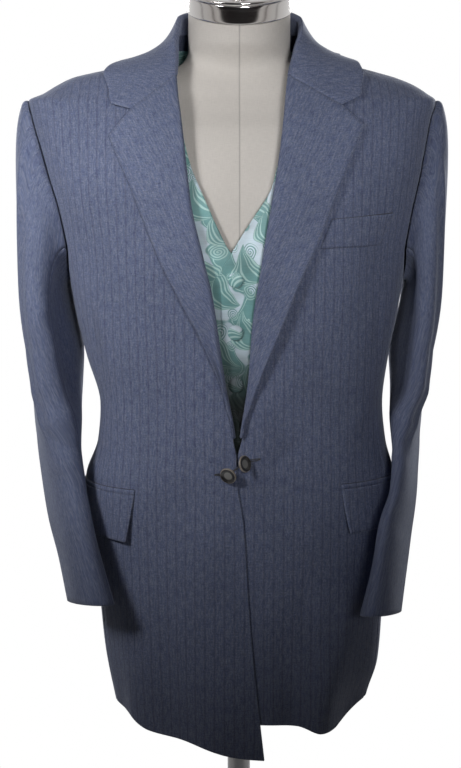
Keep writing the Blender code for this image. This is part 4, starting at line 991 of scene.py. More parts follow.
def armhole_turns():
    """Shares of one turn at the armhole's points: those of the front, the side panel and the back."""
    front = np.linspace(0.0, UNDER_ARM[0], ARMHOLE_STEPS + 1)
    under = np.linspace(*UNDER_ARM, SIDE_STEPS + 1)[1:]
    back = np.linspace(UNDER_ARM[1], 1.0, ARMHOLE_STEPS + 1)[1:]
    return np.concatenate([front, under, back])


def armhole_loop(side):
    """Angles and heights of the armhole's points, from the shoulder point over the front."""
    angle, z = ARMHOLE(armhole_turns())
    return np.stack([side * np.radians(angle), z], axis=-1)


def seam_line(side, seam, hem):
    """Angles and heights up a side seam, from the hem to the armhole."""
    foot = side * math.radians(float(seam(SEAM_FOOT_Z)[0]))
    low = float(hem(math.degrees(foot))[0])
    z = np.linspace(low, ARMPIT_Z, SKIRT_ROWS + 1)
    return np.stack([side * np.radians(seam(z)[0]), z], axis=-1)


def climb(foot, top):
    """Heights of the rows of a panel: even to the armpit, then even along the surface."""
    low, high = np.interp([ARMPIT_Z, top], RIDGE_Z, RIDGE_REACH)
    upper = np.interp(np.linspace(low, high, ARMHOLE_STEPS + 1)[1:], RIDGE_REACH, RIDGE_Z)
    return np.concatenate([np.linspace(foot, ARMPIT_Z, SKIRT_ROWS + 1), upper])


def shoulder_seam(side, count, neck=NECK_POINT_Z, tip=SHOULDER_Z):
    """Points along the shoulder from the neck to the sleeve, even along the surface."""
    high, low = np.interp([neck, tip], RIDGE_Z, RIDGE_REACH)
    heights = np.interp(np.linspace(high, low, count), RIDGE_REACH, RIDGE_Z)
    return np.stack([np.full(count, side * math.pi / 2), heights], axis=-1)


def hem_line(left, right, columns, hem):
    """Angles and heights along the hem, between the feet of two edges."""
    angles = np.linspace(left[0, 0], right[0, 0], columns + 1)
    return np.stack([angles, hem(np.degrees(angles))[0]], axis=-1)


def back_top(side, columns, middle, neck, tip):
    """Neck seam from the centre back, then the shoulder seam, from their heights."""
    share = np.linspace(0, 1, BACK_NECK_STEPS + 1)
    heights = middle + (neck - middle) * ramp(share, 0, 1)
    line = np.stack([side * math.pi * (1 - share / 2), heights], axis=-1)
    return np.concatenate([line, shoulder_seam(side, columns - BACK_NECK_STEPS + 1, neck, tip)[1:]])


def front_lift(angle, z, side):
    """The wearer's right front lies over the left below the closure."""
    if side > 0:
        return 0.0 * z
    x = ring_radius(COAT_RINGS, angle, z) * np.sin(angle)
    return OVERLAP_LIFT * ramp(x, *OVERLAP_X) * (1 - ramp(z, *OVERLAP_Z))


def front_grid(side):
    """Angle and height over a front, from its front edge to the side seam and armhole."""
    edge, hem = (RIGHT_EDGE, RIGHT_HEM) if side < 0 else (LEFT_EDGE, LEFT_HEM)
    loop = armhole_loop(side)[:ARMHOLE_STEPS + 1][::-1]
    right = np.concatenate([seam_line(side, FRONT_SEAM, hem), loop[1:]])
    foot_x = float(edge(FRONT_FOOT_Z[0])[0])
    foot_z = float(hem(math.degrees(float(front_angle(foot_x, FRONT_FOOT_Z[1]))))[0])
    z = climb(foot_z, NECK_POINT_Z)
    roll = ramp(z, ROLL_FOOT_Z, ROLL_START_Z) * (1 - ramp(z, ROLL_TOP_Z, NECK_POINT_Z))
    x = edge(z)[0] + side * ROLL_SET_BACK * roll
    left = np.stack([front_angle(x, z), z], axis=-1)
    left[-1] = (side * math.pi / 2, NECK_POINT_Z)
    bottom = hem_line(left, right, FRONT_COLUMNS, hem)
    return blend_edges(left, right, bottom, shoulder_seam(side, FRONT_COLUMNS + 1))


def side_grid(side):
    """Angle and height over the side panel under the arm."""
    hem = RIGHT_HEM if side < 0 else LEFT_HEM
    left = seam_line(side, FRONT_SEAM, hem)
    right = seam_line(side, BACK_SEAM, hem)
    top = armhole_loop(side)[ARMHOLE_STEPS:ARMHOLE_STEPS + SIDE_STEPS + 1]
    return blend_edges(left, right, hem_line(left, right, SIDE_STEPS, hem), top)


def back_grid(side):
    """Angle and height over a back, from the centre seam to the side seam and armhole."""
    hem = RIGHT_HEM if side < 0 else LEFT_HEM
    loop = armhole_loop(side)[ARMHOLE_STEPS + SIDE_STEPS:]
    right = np.concatenate([seam_line(side, BACK_SEAM, hem), loop[1:]])
    z = climb(float(hem(side * 180.0)[0]), BACK_NECK_Z)
    left = np.stack([np.full_like(z, side * math.pi), z], axis=-1)
    bottom = hem_line(left, right, BACK_COLUMNS, hem)
    top = back_top(side, BACK_COLUMNS, BACK_NECK_Z, NECK_POINT_Z, SHOULDER_Z)
    return blend_edges(left, right, bottom, top, settling=BACK_SETTLING)


def coat_panel(node, grid, edges, surface, out=0.0, middle=0.0):
    """Piece of the coat over a grid of angles and heights, let down at its seams."""
    angle, z = grid[..., 0], grid[..., 1]
    points, normals = on_body(angle, z, out)
    points = sink_seams(points, normals, edges)
    uv = grain(angle, z)
    uv[..., 0] = uv[..., 0] - middle
    cloth_piece(node, points, normals, COAT_WALL, uv, surface)


def coat_panels(side, word, surface):
    """Front, side panel and back of one half of the coat."""
    front = finer_edges(front_grid(side))
    lift = front_lift(front[..., 0], front[..., 1], side)
    coat_panel("front_" + word, front, "rt", surface, lift)
    coat_panel("side_panel_" + word, finer_edges(side_grid(side)), "lrt", surface)
    back = finer_edges(back_grid(side))
    middle = around(np.full(back.shape[:2], side * math.pi), back[..., 1])
    coat_panel("back_" + word, back, "lrt", surface, middle=middle)


def between(values, steps):
    """More values between those of a list, evenly in each gap."""
    at = np.linspace(0, len(values) - 1, (len(values) - 1) * steps + 1)
    return np.interp(at, np.arange(len(values)), values)


def gorge_line(gorge, end, steps=1):
    """Angles and heights along the gorge seam to the notch, then to the named point."""
    shares = between(gorge_shares(gorge, end), steps)
    roll, notch, tip = (np.array(gorge[key]) for key in ("roll", "notch", end))
    knee = gorge_shares(gorge, end)[-2]
    on_seam = roll + (notch - roll) * np.minimum(shares / knee, 1.0)[:, None]
    flat = on_seam + (tip - notch) * np.clip((shares - knee) / (1 - knee), 0.0, 1.0)[:, None]
    return np.stack([front_angle(flat[:, 0], flat[:, 1]), flat[:, 1]], axis=-1)


def gorge_shares(gorge, end):
    """Shares of the whole line at its main points."""
    roll, notch, tip = (np.array(gorge[key]) for key in ("roll", "notch", end))
    seam = np.linalg.norm(notch - roll)
    total = seam + np.linalg.norm(tip - notch)
    return np.concatenate([np.array(GORGE_SHARES) * seam / total, [1.0]])


def through(columns, steps):
    """Smooth curve through columns of points; the last column only steers the curve."""
    lines = [2 * columns[0] - columns[1], *columns]
    out = []
    for p0, p1, p2, p3 in zip(lines, lines[1:], lines[2:], lines[3:]):
        for k in range(steps):
            t = k / steps
            bend = 2 * p0 - 5 * p1 + 4 * p2 - p3
            twist = 3 * p1 - p0 - 3 * p2 + p3
            out.append(0.5 * (2 * p1 + (p2 - p0) * t + bend * t**2 + twist * t**3))
    return np.stack(out, axis=1)


def lapel(side, word, surface):
    """Lapel turned back over its front, with a soft roll along the roll line."""
    edge, outline, gorge = ((RIGHT_EDGE, RIGHT_LAPEL, RIGHT_GORGE) if side < 0
                            else (LEFT_EDGE, LEFT_LAPEL, LEFT_GORGE))
    rows = np.linspace(0, 1, LAPEL_ROWS + 1)**LAPEL_ROW_POWER
    z = ROLL_START_Z + (gorge["roll"][1] - ROLL_START_Z) * rows
    x = edge(z)[0]
    left = np.stack([front_angle(x, z), z], axis=-1)
    x_out, z_out = outline(LAPEL_START + (1 - LAPEL_START) * rows)
    right = np.stack([front_angle(x_out, z_out), z_out], axis=-1)
    main = gorge_shares(gorge, "lapel")
    shares = between(main, LAPEL_STEPS)
    bottom = left[0] + (right[0] - left[0]) * shares[:, None]
    grid = blend_edges(left, right, bottom, gorge_line(gorge, "lapel", LAPEL_STEPS), shares)
    push = np.clip((ROLL_CLEAR / np.abs(x_out - x) - main[1]) / (1 - main[1]), 0.0, 0.75)
    grid = grid[:, LAPEL_STEPS:]
    shares = shares[LAPEL_STEPS:]
    grid = grid + (grid[:, -1:] - grid) * push[:, None, None]
    height = ROLL_HEIGHT + (LAPEL_EDGE_HEIGHT - ROLL_HEIGHT) * ramp(shares, 0.0, 0.5)
    over = OVERLAP_LIFT * (1 - ramp(rows, 0.0, LAPEL_LAP_ROWS)) if side < 0 else 0.0 * rows
    stand = LAPEL_STAND * ramp(rows, *LAPEL_STAND_RISE) * (1 - ramp(rows, *LAPEL_STAND_FALL))
    out = height[None, :] + over[:, None] + stand[:, None] * shares[None, :]**LAPEL_STAND_POWER
    lying, _ = on_body(grid[..., 0], grid[..., 1], out)
    section = roll_section(side, x, z, over)
    roll = through([*section, lying[:, 0], lying[:, 2]], 4)
    points = np.concatenate([roll, lying], axis=1)
    normals = grid_normals(points) * side
    across = lengths_along(points, 1)
    uv = np.stack([across - across[:, -1:], lengths_along(points, 0)], axis=-1)
    cloth_piece("lapel_" + word, points, normals, COAT_WALL, uv, surface, gap=GORGE_GAP)
    return points, normals


def collar_half(side, shares):
    """Grid of one half of the collar, from the centre back to the gorge."""
    front_edge, gorge = (RIGHT_EDGE, RIGHT_GORGE) if side < 0 else (LEFT_EDGE, LEFT_GORGE)
    seam_angle, seam_z, edge_angle, edge_z, out, forward, up = COLLAR(shares)
    end = gorge_line(gorge, "collar", COLLAR_STEPS)
    on_front = front_angle(front_edge(seam_z)[0] - side * COLLAR_SEAM_INSET, seam_z)
    seam_angle = np.where(seam_z < NECK_POINT_Z, on_front, side * np.radians(seam_angle))
    near = ramp(shares, *COLLAR_EDGE_MEETS)
    edge_angle = side * np.radians(edge_angle)
    edge_angle = edge_angle + (end[-1, 0] - edge_angle[-1]) * near
    edge_z = edge_z + (end[-1, 1] - edge_z[-1]) * near
    main = gorge_shares(gorge, "collar")
    across = between(main, COLLAR_STEPS)
    left = np.stack([seam_angle, seam_z], axis=-1)
    left[-1] = end[0]
    right = np.stack([edge_angle, edge_z], axis=-1)
    start = left[0] + (right[0] - left[0]) * across[:, None]
    grid = blend_edges(left, right, start, end, across)
    height = LAPEL_EDGE_HEIGHT + (ROLL_HEIGHT - LAPEL_EDGE_HEIGHT) * (1 - ramp(across, 0.0, 0.5))
    lift = COLLAR_LIFT * (1 - ramp(shares, *COLLAR_LIFT_ENDS))
    lying, _ = on_body(grid[..., 0], grid[..., 1], height[None, :] + lift[:, None])
    seam, _ = on_body(seam_angle, seam_z, 0 * seam_z)
    ray = np.stack([np.sin(seam_angle), -np.cos(seam_angle), 0 * seam_angle], axis=-1)
    upward = np.array([0.0, 0.0, 1.0])
    roll = seam + ray * out[:, None] + upward * up[:, None]
    roll[:, 1] -= forward
    merge = ramp(shares, *COLLAR_ROLL_MEETS)[:, None]
    roll = roll * (1 - merge) + lying[:, 0] * merge
    away = ((1 - across) ** COLLAR_FALL)[None, :, None]
    fall = lying + (roll - lying[:, 0])[:, None, :] * away
    inner = roll - ray * COLLAR_FOLD - upward * COLLAR_FOLD * 0.8
    base, _ = on_body(seam_angle, seam_z, -COLLAR_STAND_INSET + 0 * seam_z)
    roll_x, roll_z = gorge["roll"]
    ends = roll_section(side, np.array(roll_x), np.array(roll_z))
    finish = (ends[0], (ends[0] + ends[1]) / 2, ends[1], ends[2])
    guide = [line * (1 - merge) + last * merge
             for line, last in zip((base, (base + inner) / 2, inner, fall[:, 0]), finish)]
    shift = np.clip(1 - across / main[1], 0.0, 1.0)[None, :, None]
    fall = fall + (guide[3] - fall[:, 0])[:, None, :] * shift
    stand = through([*guide, fall[:, 2]], COLLAR_STEPS)
    return np.concatenate([stand, fall], axis=1)


def roll_section(side, x, z, over=0.0):
    """Points around the turned edge at the roll line, from inside to the top of the roll."""
    return [on_body(front_angle(x + side * shift, z), z, lift + over)[0] for shift, lift in ROLL_SECTION]


def collar(surface):
    """Collar: a stand round the neck and a fall that lies over the shoulders and the back."""
    shares = np.linspace(0, 1, COLLAR_ROWS + 1)
    right = collar_half(-1, shares)[::-1]
    left = collar_half(1, shares)
    points = np.concatenate([right[:-1], left])
    normals = -grid_normals(points)
    along = lengths_along(points, 0)
    middle = along[COLLAR_ROWS]
    uv = np.stack([along - middle, lengths_along(points, 1)], axis=-1)
    cloth_piece("collar", points, normals, COAT_WALL, uv, surface, gap=GORGE_GAP)


def sleeve_sections(side):
    """Rings of the sleeve below the upper arm, in the order of the armhole's points."""
    table = RIGHT_SLEEVE if side < 0 else LEFT_SLEEVE
    low = RIGHT_CUFF_Z if side < 0 else LEFT_CUFF_Z
    z = np.linspace(SLEEVE_TOP_Z, low, SLEEVE_ROWS + 1)
    centre_x, centre_y, thin, deep, turn, slope = (column[:, None] for column in table(z))
    turns = 2 * math.pi * armhole_turns()[:-1]
    power = 2 / SLEEVE_SQUARE
    a = thin * np.sign(np.cos(turns)) * np.abs(np.cos(turns))**power
    b = deep * np.sign(np.sin(turns)) * np.abs(np.sin(turns))**power
    angle = np.radians(turn)
    x = side * (centre_x + a * np.cos(angle) - b * np.sin(angle))
    y = centre_y - a * np.sin(angle) - b * np.cos(angle)
    return np.stack([x, y, z[:, None] - slope * (y - centre_y)], axis=-1)


def sleeve_grid(side):
    """Whole sleeve as a closed grid: the head from the armhole, then the arm to the cuff."""
    loop = armhole_loop(side)[:-1]
    start, _ = on_body(loop[:, 0], loop[:, 1])
    arm = sleeve_sections(side)
    end = arm[0]
    share = (start[:, 2] - start[:, 2].min()) / np.ptp(start[:, 2])
    spread = np.stack([side * (SLEEVE_HEAD_LOW + SLEEVE_HEAD_HIGH * share), end[:, 1] - start[:, 1],
                       0 * share], axis=-1)
    drop = np.stack([0 * share, 0 * share, -SLEEVE_DROP * (start[:, 2] - end[:, 2])], axis=-1)
    t = np.linspace(0, 1, CAP_ROWS + 1)[:-1, None, None]
    return np.concatenate([hermite(t, start, spread, end, drop), arm])


def sleeve_relief(side, points):
    """Height of the roped head, the pressed ridge and the wrinkles over a sleeve's own surface."""
    turn = np.degrees(2 * math.pi * armhole_turns()[:-1])[None, :]
    z = points[..., 2]
    down = lengths_along(points, 0)
    high = ramp(z[:1], *ROPE_Z)
    relief = ROPE_HEIGHT * high * np.exp(-((down - ROPE_PLACE) / ROPE_HALF)**2)
    relief = relief - HEAD_SEAM_DIP * np.exp(-(down / HEAD_SEAM_HALF)**2)
    for middle, half, low, top, depth in (RIGHT_SLEEVE_FOLDS if side < 0 else LEFT_SLEEVE_FOLDS):
        across = away_from(turn, middle)
        reach = ramp(z, low, low + SLEEVE_FOLD_END) * (1 - ramp(z, top - SLEEVE_FOLD_END, top))
        relief = relief + depth * reach * np.exp(-(across / half)**2)
    for middle, height, slant, half, reach, depth in SLEEVE_WRINKLES:
        across = away_from(turn, middle)
        upward = z - height - slant * across / 90.0
        relief = relief + depth * np.exp(-(across / half)**2 - (upward / reach)**2)
    return relief


def sleeve_map(part, middle):
    """Place on the cloth: round the arm from a middle column, and straight up into the head."""
    across = lengths_along(part, 1)
    across = across - across[:, [middle]]
    arm = part[CAP_ROWS]
    along = unit(np.gradient(arm, axis=0))
    shift = ((part[:CAP_ROWS] - arm[None]) * along[None]).sum(axis=-1)
    across[:CAP_ROWS] = across[CAP_ROWS] + shift
    return np.stack([across, lengths_along(part, 0)], axis=-1)


def sleeve(side, word, surface):
    """Upper and under sleeve, cut along the front and the hind seam."""
    points = sleeve_grid(side)
    low, high = CAP_ROWS - SETTLED_ROWS, CAP_ROWS + SETTLED_ROWS
    for _ in range(SLEEVE_SETTLING):
        points[low:high] = (points[low - 1:high - 1] + points[low + 1:high + 1]) / 2
    normals = grid_normals(points, closed=True) * side
    points = points + normals * sleeve_relief(side, points)[..., None]
    normals = grid_normals(points, closed=True) * side
    count = points.shape[1]
    pieces = (("sleeve_upper_", HIND_SLEEVE_SEAM - count, FRONT_SLEEVE_SEAM),
              ("sleeve_under_", FRONT_SLEEVE_SEAM, HIND_SLEEVE_SEAM))
    for name, first, last in pieces:
        columns = [k % count for k in range(first, last + 1)]
        part = points[:, columns]
        face = normals[:, columns]
        uv = sleeve_map(part, -first if first < 0 else (last - first) // 2)
        part = sink_seams(part, face, "lr")
        part = draw_in(draw_in(part, SEAM_GAP, "lr"), ARMHOLE_GAP, "b")
        piece = wall_piece(name + word + "_piece", part, part - face * COAT_WALL, uv, surface)
        dressed(piece, name + word, flat_cut(part))


def seen_patch(corners, columns, rows):
    """Angles and heights over a small patch given by four corners in the front view."""
    line = {key: np.array(value) for key, value in corners.items()}
    s = np.linspace(0, 1, columns + 1)[None, :, None]
    v = np.linspace(0, 1, rows + 1)[:, None, None]
    low = line["low"] + (line["low_end"] - line["low"]) * s
    high = line["high"] + (line["high_end"] - line["high"]) * s
    flat = low + (high - low) * v
    return np.stack([front_angle(flat[..., 0], flat[..., 1]), flat[..., 1]], axis=-1)


def mouth_shadow_line(name, angle, z, thread):
    """Painted shadow: a dark tube along the coat where a pocket's upper edge lies on it, standing for
    the shade of the pocket mouth.
    """
    line, _ = on_body(angle, z + MOUTH_RISE, MOUTH_OUT + 0 * angle)
    dressed(tube(name, line, MOUTH_RADIUS, thread, 8), None)


def hip_pocket(side, word, surface, thread):
    """Flap that hangs from a narrow jet across the hip; its front lower corner stands off."""
    sizes = HIP_FLAPS[word]
    top_x, top_z = sizes["top"]
    foot_x, foot_z = sizes["foot"]
    start = np.array([float(front_angle(foot_x, foot_z)), float(front_angle(top_x, top_z))])
    middle = float(np.mean(start))
    radius = float(ring_radius(COAT_RINGS, middle + side * 0.5, top_z))
    span = side * sizes["width"] / radius
    s = np.linspace(0, 1, FLAP_COLUMNS + 1)
    v = np.linspace(0, 1, FLAP_ROWS + 1)[:, None]
    angle = start[0] + (start[1] - start[0]) * v + span * s[None, :]
    z = foot_z + (top_z - foot_z) * v - sizes["drop"] * s[None, :]
    stand = FLAP_TOP_HEIGHT + FLAP_STAND * (1 - v) * (1 - FLAP_STAND_LOSS * s[None, :])
    stand = stand + FLAP_CORNER * (1 - v)**FLAP_CORNER_POWER * np.exp(-s[None, :] * FLAP_CORNER_FADE)
    points, normals = on_body(angle, z, stand)
    points = sink_seams(points, normals, "lrb", *FLAP_EDGE)
    cloth_piece("flap_" + word, points, normals, FLAP_WALL, grain(angle, z), surface)
    flap = (points, normals)
    row = np.linspace(0, 1, JET_ROWS + 1)[:, None]
    angle = np.repeat(angle[-1:], JET_ROWS + 1, axis=0)
    z = z[-1:] + JET_GAP + JET_WIDTH * row
    points, normals = on_body(angle, z, JET_HEIGHT - JET_ROUND * (2 * row - 1)**2 + 0 * angle)
    cloth_piece("jet_" + word, points, normals, JET_WALL, grain(angle, z), surface, gap=0.0)
    # Painted shadow: a dark line along the top of the jet, for the shade in the pocket mouth
    mouth_shadow_line("jet_mouth_" + word, angle[-1], z[-1], thread)
    return flap


def breast_welt(surface, thread):
    """Slanted welt of the breast pocket on the wearer's left front."""
    grid = seen_patch(BREAST_WELT, WELT_COLUMNS, WELT_ROWS)
    v = np.linspace(0, 1, WELT_ROWS + 1)[:, None]
    s = np.linspace(0, 1, WELT_COLUMNS + 1)[None, :]
    gape = v**3 * np.exp(-((s - WELT_GAPE_MIDDLE) / WELT_GAPE_HALF)**2)
    points, normals = on_body(grid[..., 0], grid[..., 1], WELT_HEIGHT + WELT_GAPE * gape)
    points = sink_seams(points, normals, "lrb", *WELT_EDGE)
    uv = grain(grid[..., 0], grid[..., 1])
    cloth_piece("breast_welt", points, normals, WELT_WALL, uv, surface, gap=0.0)
    # Painted shadow: a dark line along the top of the welt, for the shade in the pocket mouth
    mouth_shadow_line("welt_mouth_shadow", grid[-1, :, 0], grid[-1, :, 1], thread)


def vest_radius(angle, z):
    """Body surface under the coat, with the small pulls at the waistcoat's buttons."""
    radius = ring_radius(COAT_RINGS, angle, z)
    x = radius * np.sin(angle)
    for k in range(VEST_BUTTON_COUNT):
        height = VEST_TOP_BUTTON_Z - k * VEST_BUTTON_PITCH
        away = np.abs(x - VEST_BUTTON_X)
        pull = np.exp(-(away / PULL_REACH)**2)
        for offset, depth in VEST_PULLS:
            line = z - height - offset - PULL_SLANT * np.sign(offset) * away
            radius = radius + depth * pull * np.exp(-(line / PULL_HALF)**2)
    return radius


def vest_rows(foot):
    """Heights of the rows of the waistcoat's middle edge."""
    low, high = np.interp([VEST_SIDE_Z, VEST_NECK_Z], RIDGE_Z, RIDGE_REACH)
    upper = np.interp(np.linspace(low, high, VEST_ARM_ROWS + 1)[1:], RIDGE_REACH, RIDGE_Z)
    return np.concatenate([np.linspace(foot, VEST_SIDE_Z, VEST_ROWS + 1), upper])


def vest_side(side, which):
    """Side seam and armhole of the waistcoat; which is 0 in front and 1 behind."""
    foot = float(VEST_HEM(90)[0])
    z = np.linspace(foot, VEST_SIDE_Z, VEST_ROWS + 1)
    seam = np.stack([np.full_like(z, side * math.pi / 2), z], axis=-1)
    share = np.linspace(0, 1, VEST_ARM_ROWS + 1)[1:]
    columns = VEST_ARMHOLE(share)
    hole = np.stack([side * np.radians(columns[which]), columns[2]], axis=-1)
    return np.concatenate([seam, hole])


def vest_hem(degrees):
    return VEST_HEM(np.abs(degrees))


def vest_panel(node, left, right, top, surface, lap=0.0, edges="", settling=0):
    """Front or back of the waistcoat inside its edges; the lap lifts it over the other front."""
    bottom = hem_line(left, right, VEST_COLUMNS, vest_hem)
    grid = finer_edges(blend_edges(left, right, bottom, top, settling=settling))
    angle, z = grid[..., 0], grid[..., 1]
    lift = lap * (1 - ramp(np.degrees(angle), *VEST_LAP_TURN))
    points, normals = on_body(angle, z, lift - VEST_INSET, vest_radius)
    points = sink_seams(points, normals, edges, *VEST_EDGE)
    cloth_piece(node, points, normals, VEST_WALL, grain(angle, z), surface)


def vest(side, word, surface):
    """Waistcoat front and back of one side."""
    edge = VEST_RIGHT_EDGE if side < 0 else VEST_LEFT_EDGE
    foot_angle = float(front_angle(float(edge(VEST_FOOT_Z)[0]), VEST_FOOT_Z))
    z = vest_rows(float(vest_hem(math.degrees(foot_angle))[0]))
    left = np.stack([front_angle(edge(z)[0], z), z], axis=-1)
    left[-1] = (side * math.pi / 2, VEST_NECK_Z)
    top = shoulder_seam(side, VEST_COLUMNS + 1, VEST_NECK_Z, VEST_TIP_Z)
    lap = VEST_LAP if side > 0 else 0.0
    vest_panel("vest_front_" + word, left, vest_side(side, 0), top, surface, lap, "l")
    z = vest_rows(float(vest_hem(180)[0]))
    left = np.stack([np.full_like(z, side * math.pi), z], axis=-1)
    top = back_top(side, VEST_COLUMNS, VEST_NECK_Z, VEST_NECK_Z, VEST_TIP_Z)
    vest_panel("vest_back_" + word, left, vest_side(side, 1), top, surface, settling=VEST_BACK_SETTLING)


def aimed(normal):
    """Rotation that turns +Z to a direction."""
    x, y, z = unit(np.array(normal))
    return (0.0, math.acos(z), math.atan2(y, x))


def link_button(node, x, z, normal, off, surface):
    """Horn button with a raised rim and a dished face; returns its centre."""
    angle = float(front_angle(x, z))
    spot, _ = on_body(angle, z, off)
    profile = sized(LINK_BUTTON_PROFILE, LINK_BUTTON_RADIUS, LINK_BUTTON_THICK)
    turned(node, rounded(profile), 64, surface, tuple(spot), aimed(normal))
    return np.array(spot)


def tube(name, line, radius, surface, sides=10, closed=False):
    """Round thread along a line of points."""
    line = np.array(line, dtype=float)
    if closed:
        along = np.roll(line, -1, axis=0) - np.roll(line, 1, axis=0)
    else:
        along = np.gradient(line, axis=0)
    along = unit(along)
    across = unit(np.cross(along, [0.0, 0.0, 1.0]))
    upward = np.cross(across, along)
    turns = 2 * math.pi * np.arange(sides) / sides
    ring = across[:, None] * np.cos(turns)[None, :, None]
    ring = ring + upward[:, None] * np.sin(turns)[None, :, None]
    points = line[:, None] + ring * radius
    count = len(line)
    faces = []
    for r in range(count if closed else count - 1):
        n = (r + 1) % count
        for k in range(sides):
            m = (k + 1) % sides
            faces.append((r * sides + k, r * sides + m, n * sides + m, n * sides + k))
    if not closed:
        faces.append(tuple(range(sides)))
        faces.append(tuple((count - 1) * sides + k for k in range(sides)))
    walked = lengths_along(line[:, None], 0)[:, 0]
    uv = np.stack([np.tile(radius * turns, (count, 1)), np.repeat(walked[:, None], sides, axis=1)],
                  axis=-1)
    return mesh_object(name, points.reshape(-1, 3), faces, uv.reshape(-1, 2), surface)


def closure(horn, thread):
    """Two horn buttons linked through both buttonholes, and the worked buttonholes."""
    right = link_button("link_button_right", *LINK_RIGHT, horn)
    left = link_button("link_button_left", *LINK_LEFT, horn)
    ends = []
    for spot, place in ((right, LINK_RIGHT), (left, LINK_LEFT)):
        ends.append(spot - unit(np.array(place[2])) * (LINK_RADIUS + SEAM_GAP * 3))
    share = np.linspace(0, 1, LINK_STEPS)[:, None]
    link = tube("closure_link_piece", ends[0] + (ends[1] - ends[0]) * share, LINK_RADIUS, thread)
    dressed(link, "closure_link")
    turn = np.linspace(0, 2 * math.pi, HOLE_STEPS + 1)[:-1]
    for word, x, z, half, slant, out in BUTTONHOLES:
        round_x = x + half * np.cos(turn)
        round_z = z + HOLE_HALF * np.sin(turn) + slant * half * np.cos(turn)
        angle = front_angle(round_x, round_z)
        line, _ = on_body(angle, round_z, out + 0 * angle)
        hole = tube("buttonhole_" + word, line, HOLE_THREAD, thread, 8, closed=True)
        dressed(hole, None)


def vest_buttons(surface):
    """Cloth-covered buttons down the waistcoat."""
    profile = rounded(sized(VEST_BUTTON_PROFILE, VEST_BUTTON_RADIUS, VEST_BUTTON_THICK))
    for k in range(VEST_BUTTON_COUNT):
        z = VEST_TOP_BUTTON_Z - k * VEST_BUTTON_PITCH
        angle = float(front_angle(VEST_BUTTON_X, z))
        spot, normal = on_body(angle, z, VEST_LAP + SEAM_GAP - VEST_INSET, vest_radius)
        turned("vest_button_" + str(k + 1), profile, 48, surface, tuple(spot),
               aimed(normal), flat=True)


def form_radius(angle, z):
    """Body of the dress form: inside the coat, with lower and narrower shoulders."""
    drop = FORM_SHOULDER_DROP * ramp(z, *FORM_DROP_Z)
    body = ring_radius(COAT_RINGS, angle, z + drop) - FORM_INSET
    body = body - FORM_WAIST * (1 - ramp(z, *FORM_WAIST_Z))
    wide = np.abs(body * np.sin(angle)) / FORM_SHOULDER_HALF
    body = body / (1 + wide**FORM_SHOULDER_SQUARE)**(1 / FORM_SHOULDER_SQUARE)
    return body + (NECK_RADIUS - body) * ramp(z, *FORM_NECK_Z)


def dress_form(surface):
    """Limbless torso with a neck, cut level below the hip and aslant at the neck."""
    angles = np.linspace(-math.pi, math.pi, FORM_COLUMNS + 1)
    low, high = FORM_ROWS_Z
    heights = np.concatenate([np.linspace(FORM_BOTTOM_Z, low, FORM_ROWS),
                              np.linspace(low, high, FORM_ROWS)[1:]])
    angle, z = np.meshgrid(angles, heights)
    radius = form_radius(angle, z)
    seam = np.exp(-(radius * np.sin(angle) / FORM_SEAM_HALF)**2) * (np.cos(angle) > 0)
    radius = radius - FORM_SEAM_DEPTH * seam
    body = np.stack([radius * np.sin(angle), -radius * np.cos(angle), z], axis=-1)
    rim_y = -NECK_RADIUS * np.cos(angles)
    rim_z = NECK_TOP_Z + rim_y * math.tan(NECK_TILT)
    rim = np.stack([NECK_RADIUS * np.sin(angles), rim_y, rim_z], axis=-1)
    share = np.linspace(0, 1, FORM_RIM_ROWS + 1)[1:, None, None]
    points = np.concatenate([body, body[-1:] + (rim - body[-1:]) * share])
    number, quads = numbered(*points.shape[:2])
    faces = [tuple(q) for q in quads]
    vertices = [tuple(v) for v in points.reshape(-1, 3)]
    across = lengths_along(points, 1)
    across = across - across[:, [FORM_COLUMNS // 2]]
    uv = [tuple(p) for p in np.stack([across, points[..., 2]], axis=-1).reshape(-1, 2)]
    for ring, height in ((number[0], FORM_BOTTOM_Z), (number[-1], NECK_TOP_Z)):
        vertices.append((0.0, 0.0, height))
        uv.append((0.0, height))
        faces += [(ring[k], ring[k + 1], len(vertices) - 1) for k in range(FORM_COLUMNS)]
    item = mesh_object("dress_form", np.array(vertices), faces, np.array(uv), surface, WELD_REACH)
    item.data.set_sharp_from_angle(angle=SHARP_EDGE)
    dressed(item, "form_torso")


def neck_cap(surface):
    """Bright band, disc and knob that close the neck of the form."""
    tilt = (NECK_TILT, 0, 0)
    up = np.array([0.0, -math.sin(NECK_TILT), math.cos(NECK_TILT)])
    foot = np.array([0.0, 0.0, NECK_TOP_Z]) + up * SEAM_GAP
    wide = NECK_RADIUS + BAND_THICK
    band = [(0, 0), (wide - BAND_ROUND, 0), (wide, BAND_ROUND), (wide, BAND_HEIGHT - BAND_ROUND),
            (wide - BAND_ROUND, BAND_HEIGHT), (0, BAND_HEIGHT)]
    turned("neck_band", rounded(band), 120, surface, tuple(foot), tilt)
    disc = [(0, 0), *((wide + out, height) for out, height in CAP_EDGE), (0, CAP_THICK + CAP_CROWN)]
    spot = foot + up * (BAND_HEIGHT + SEAM_GAP)
    turned("cap_disc", rounded(disc), 120, surface, tuple(spot), tilt)
    knob = sized(KNOB_PROFILE, KNOB_RADIUS, KNOB_HEIGHT)
    seat = foot + up * (BAND_HEIGHT + CAP_THICK + CAP_CROWN + 2 * SEAM_GAP)
    turned("cap_knob", rounded(knob, 7), 72, surface, tuple(seat), tilt)


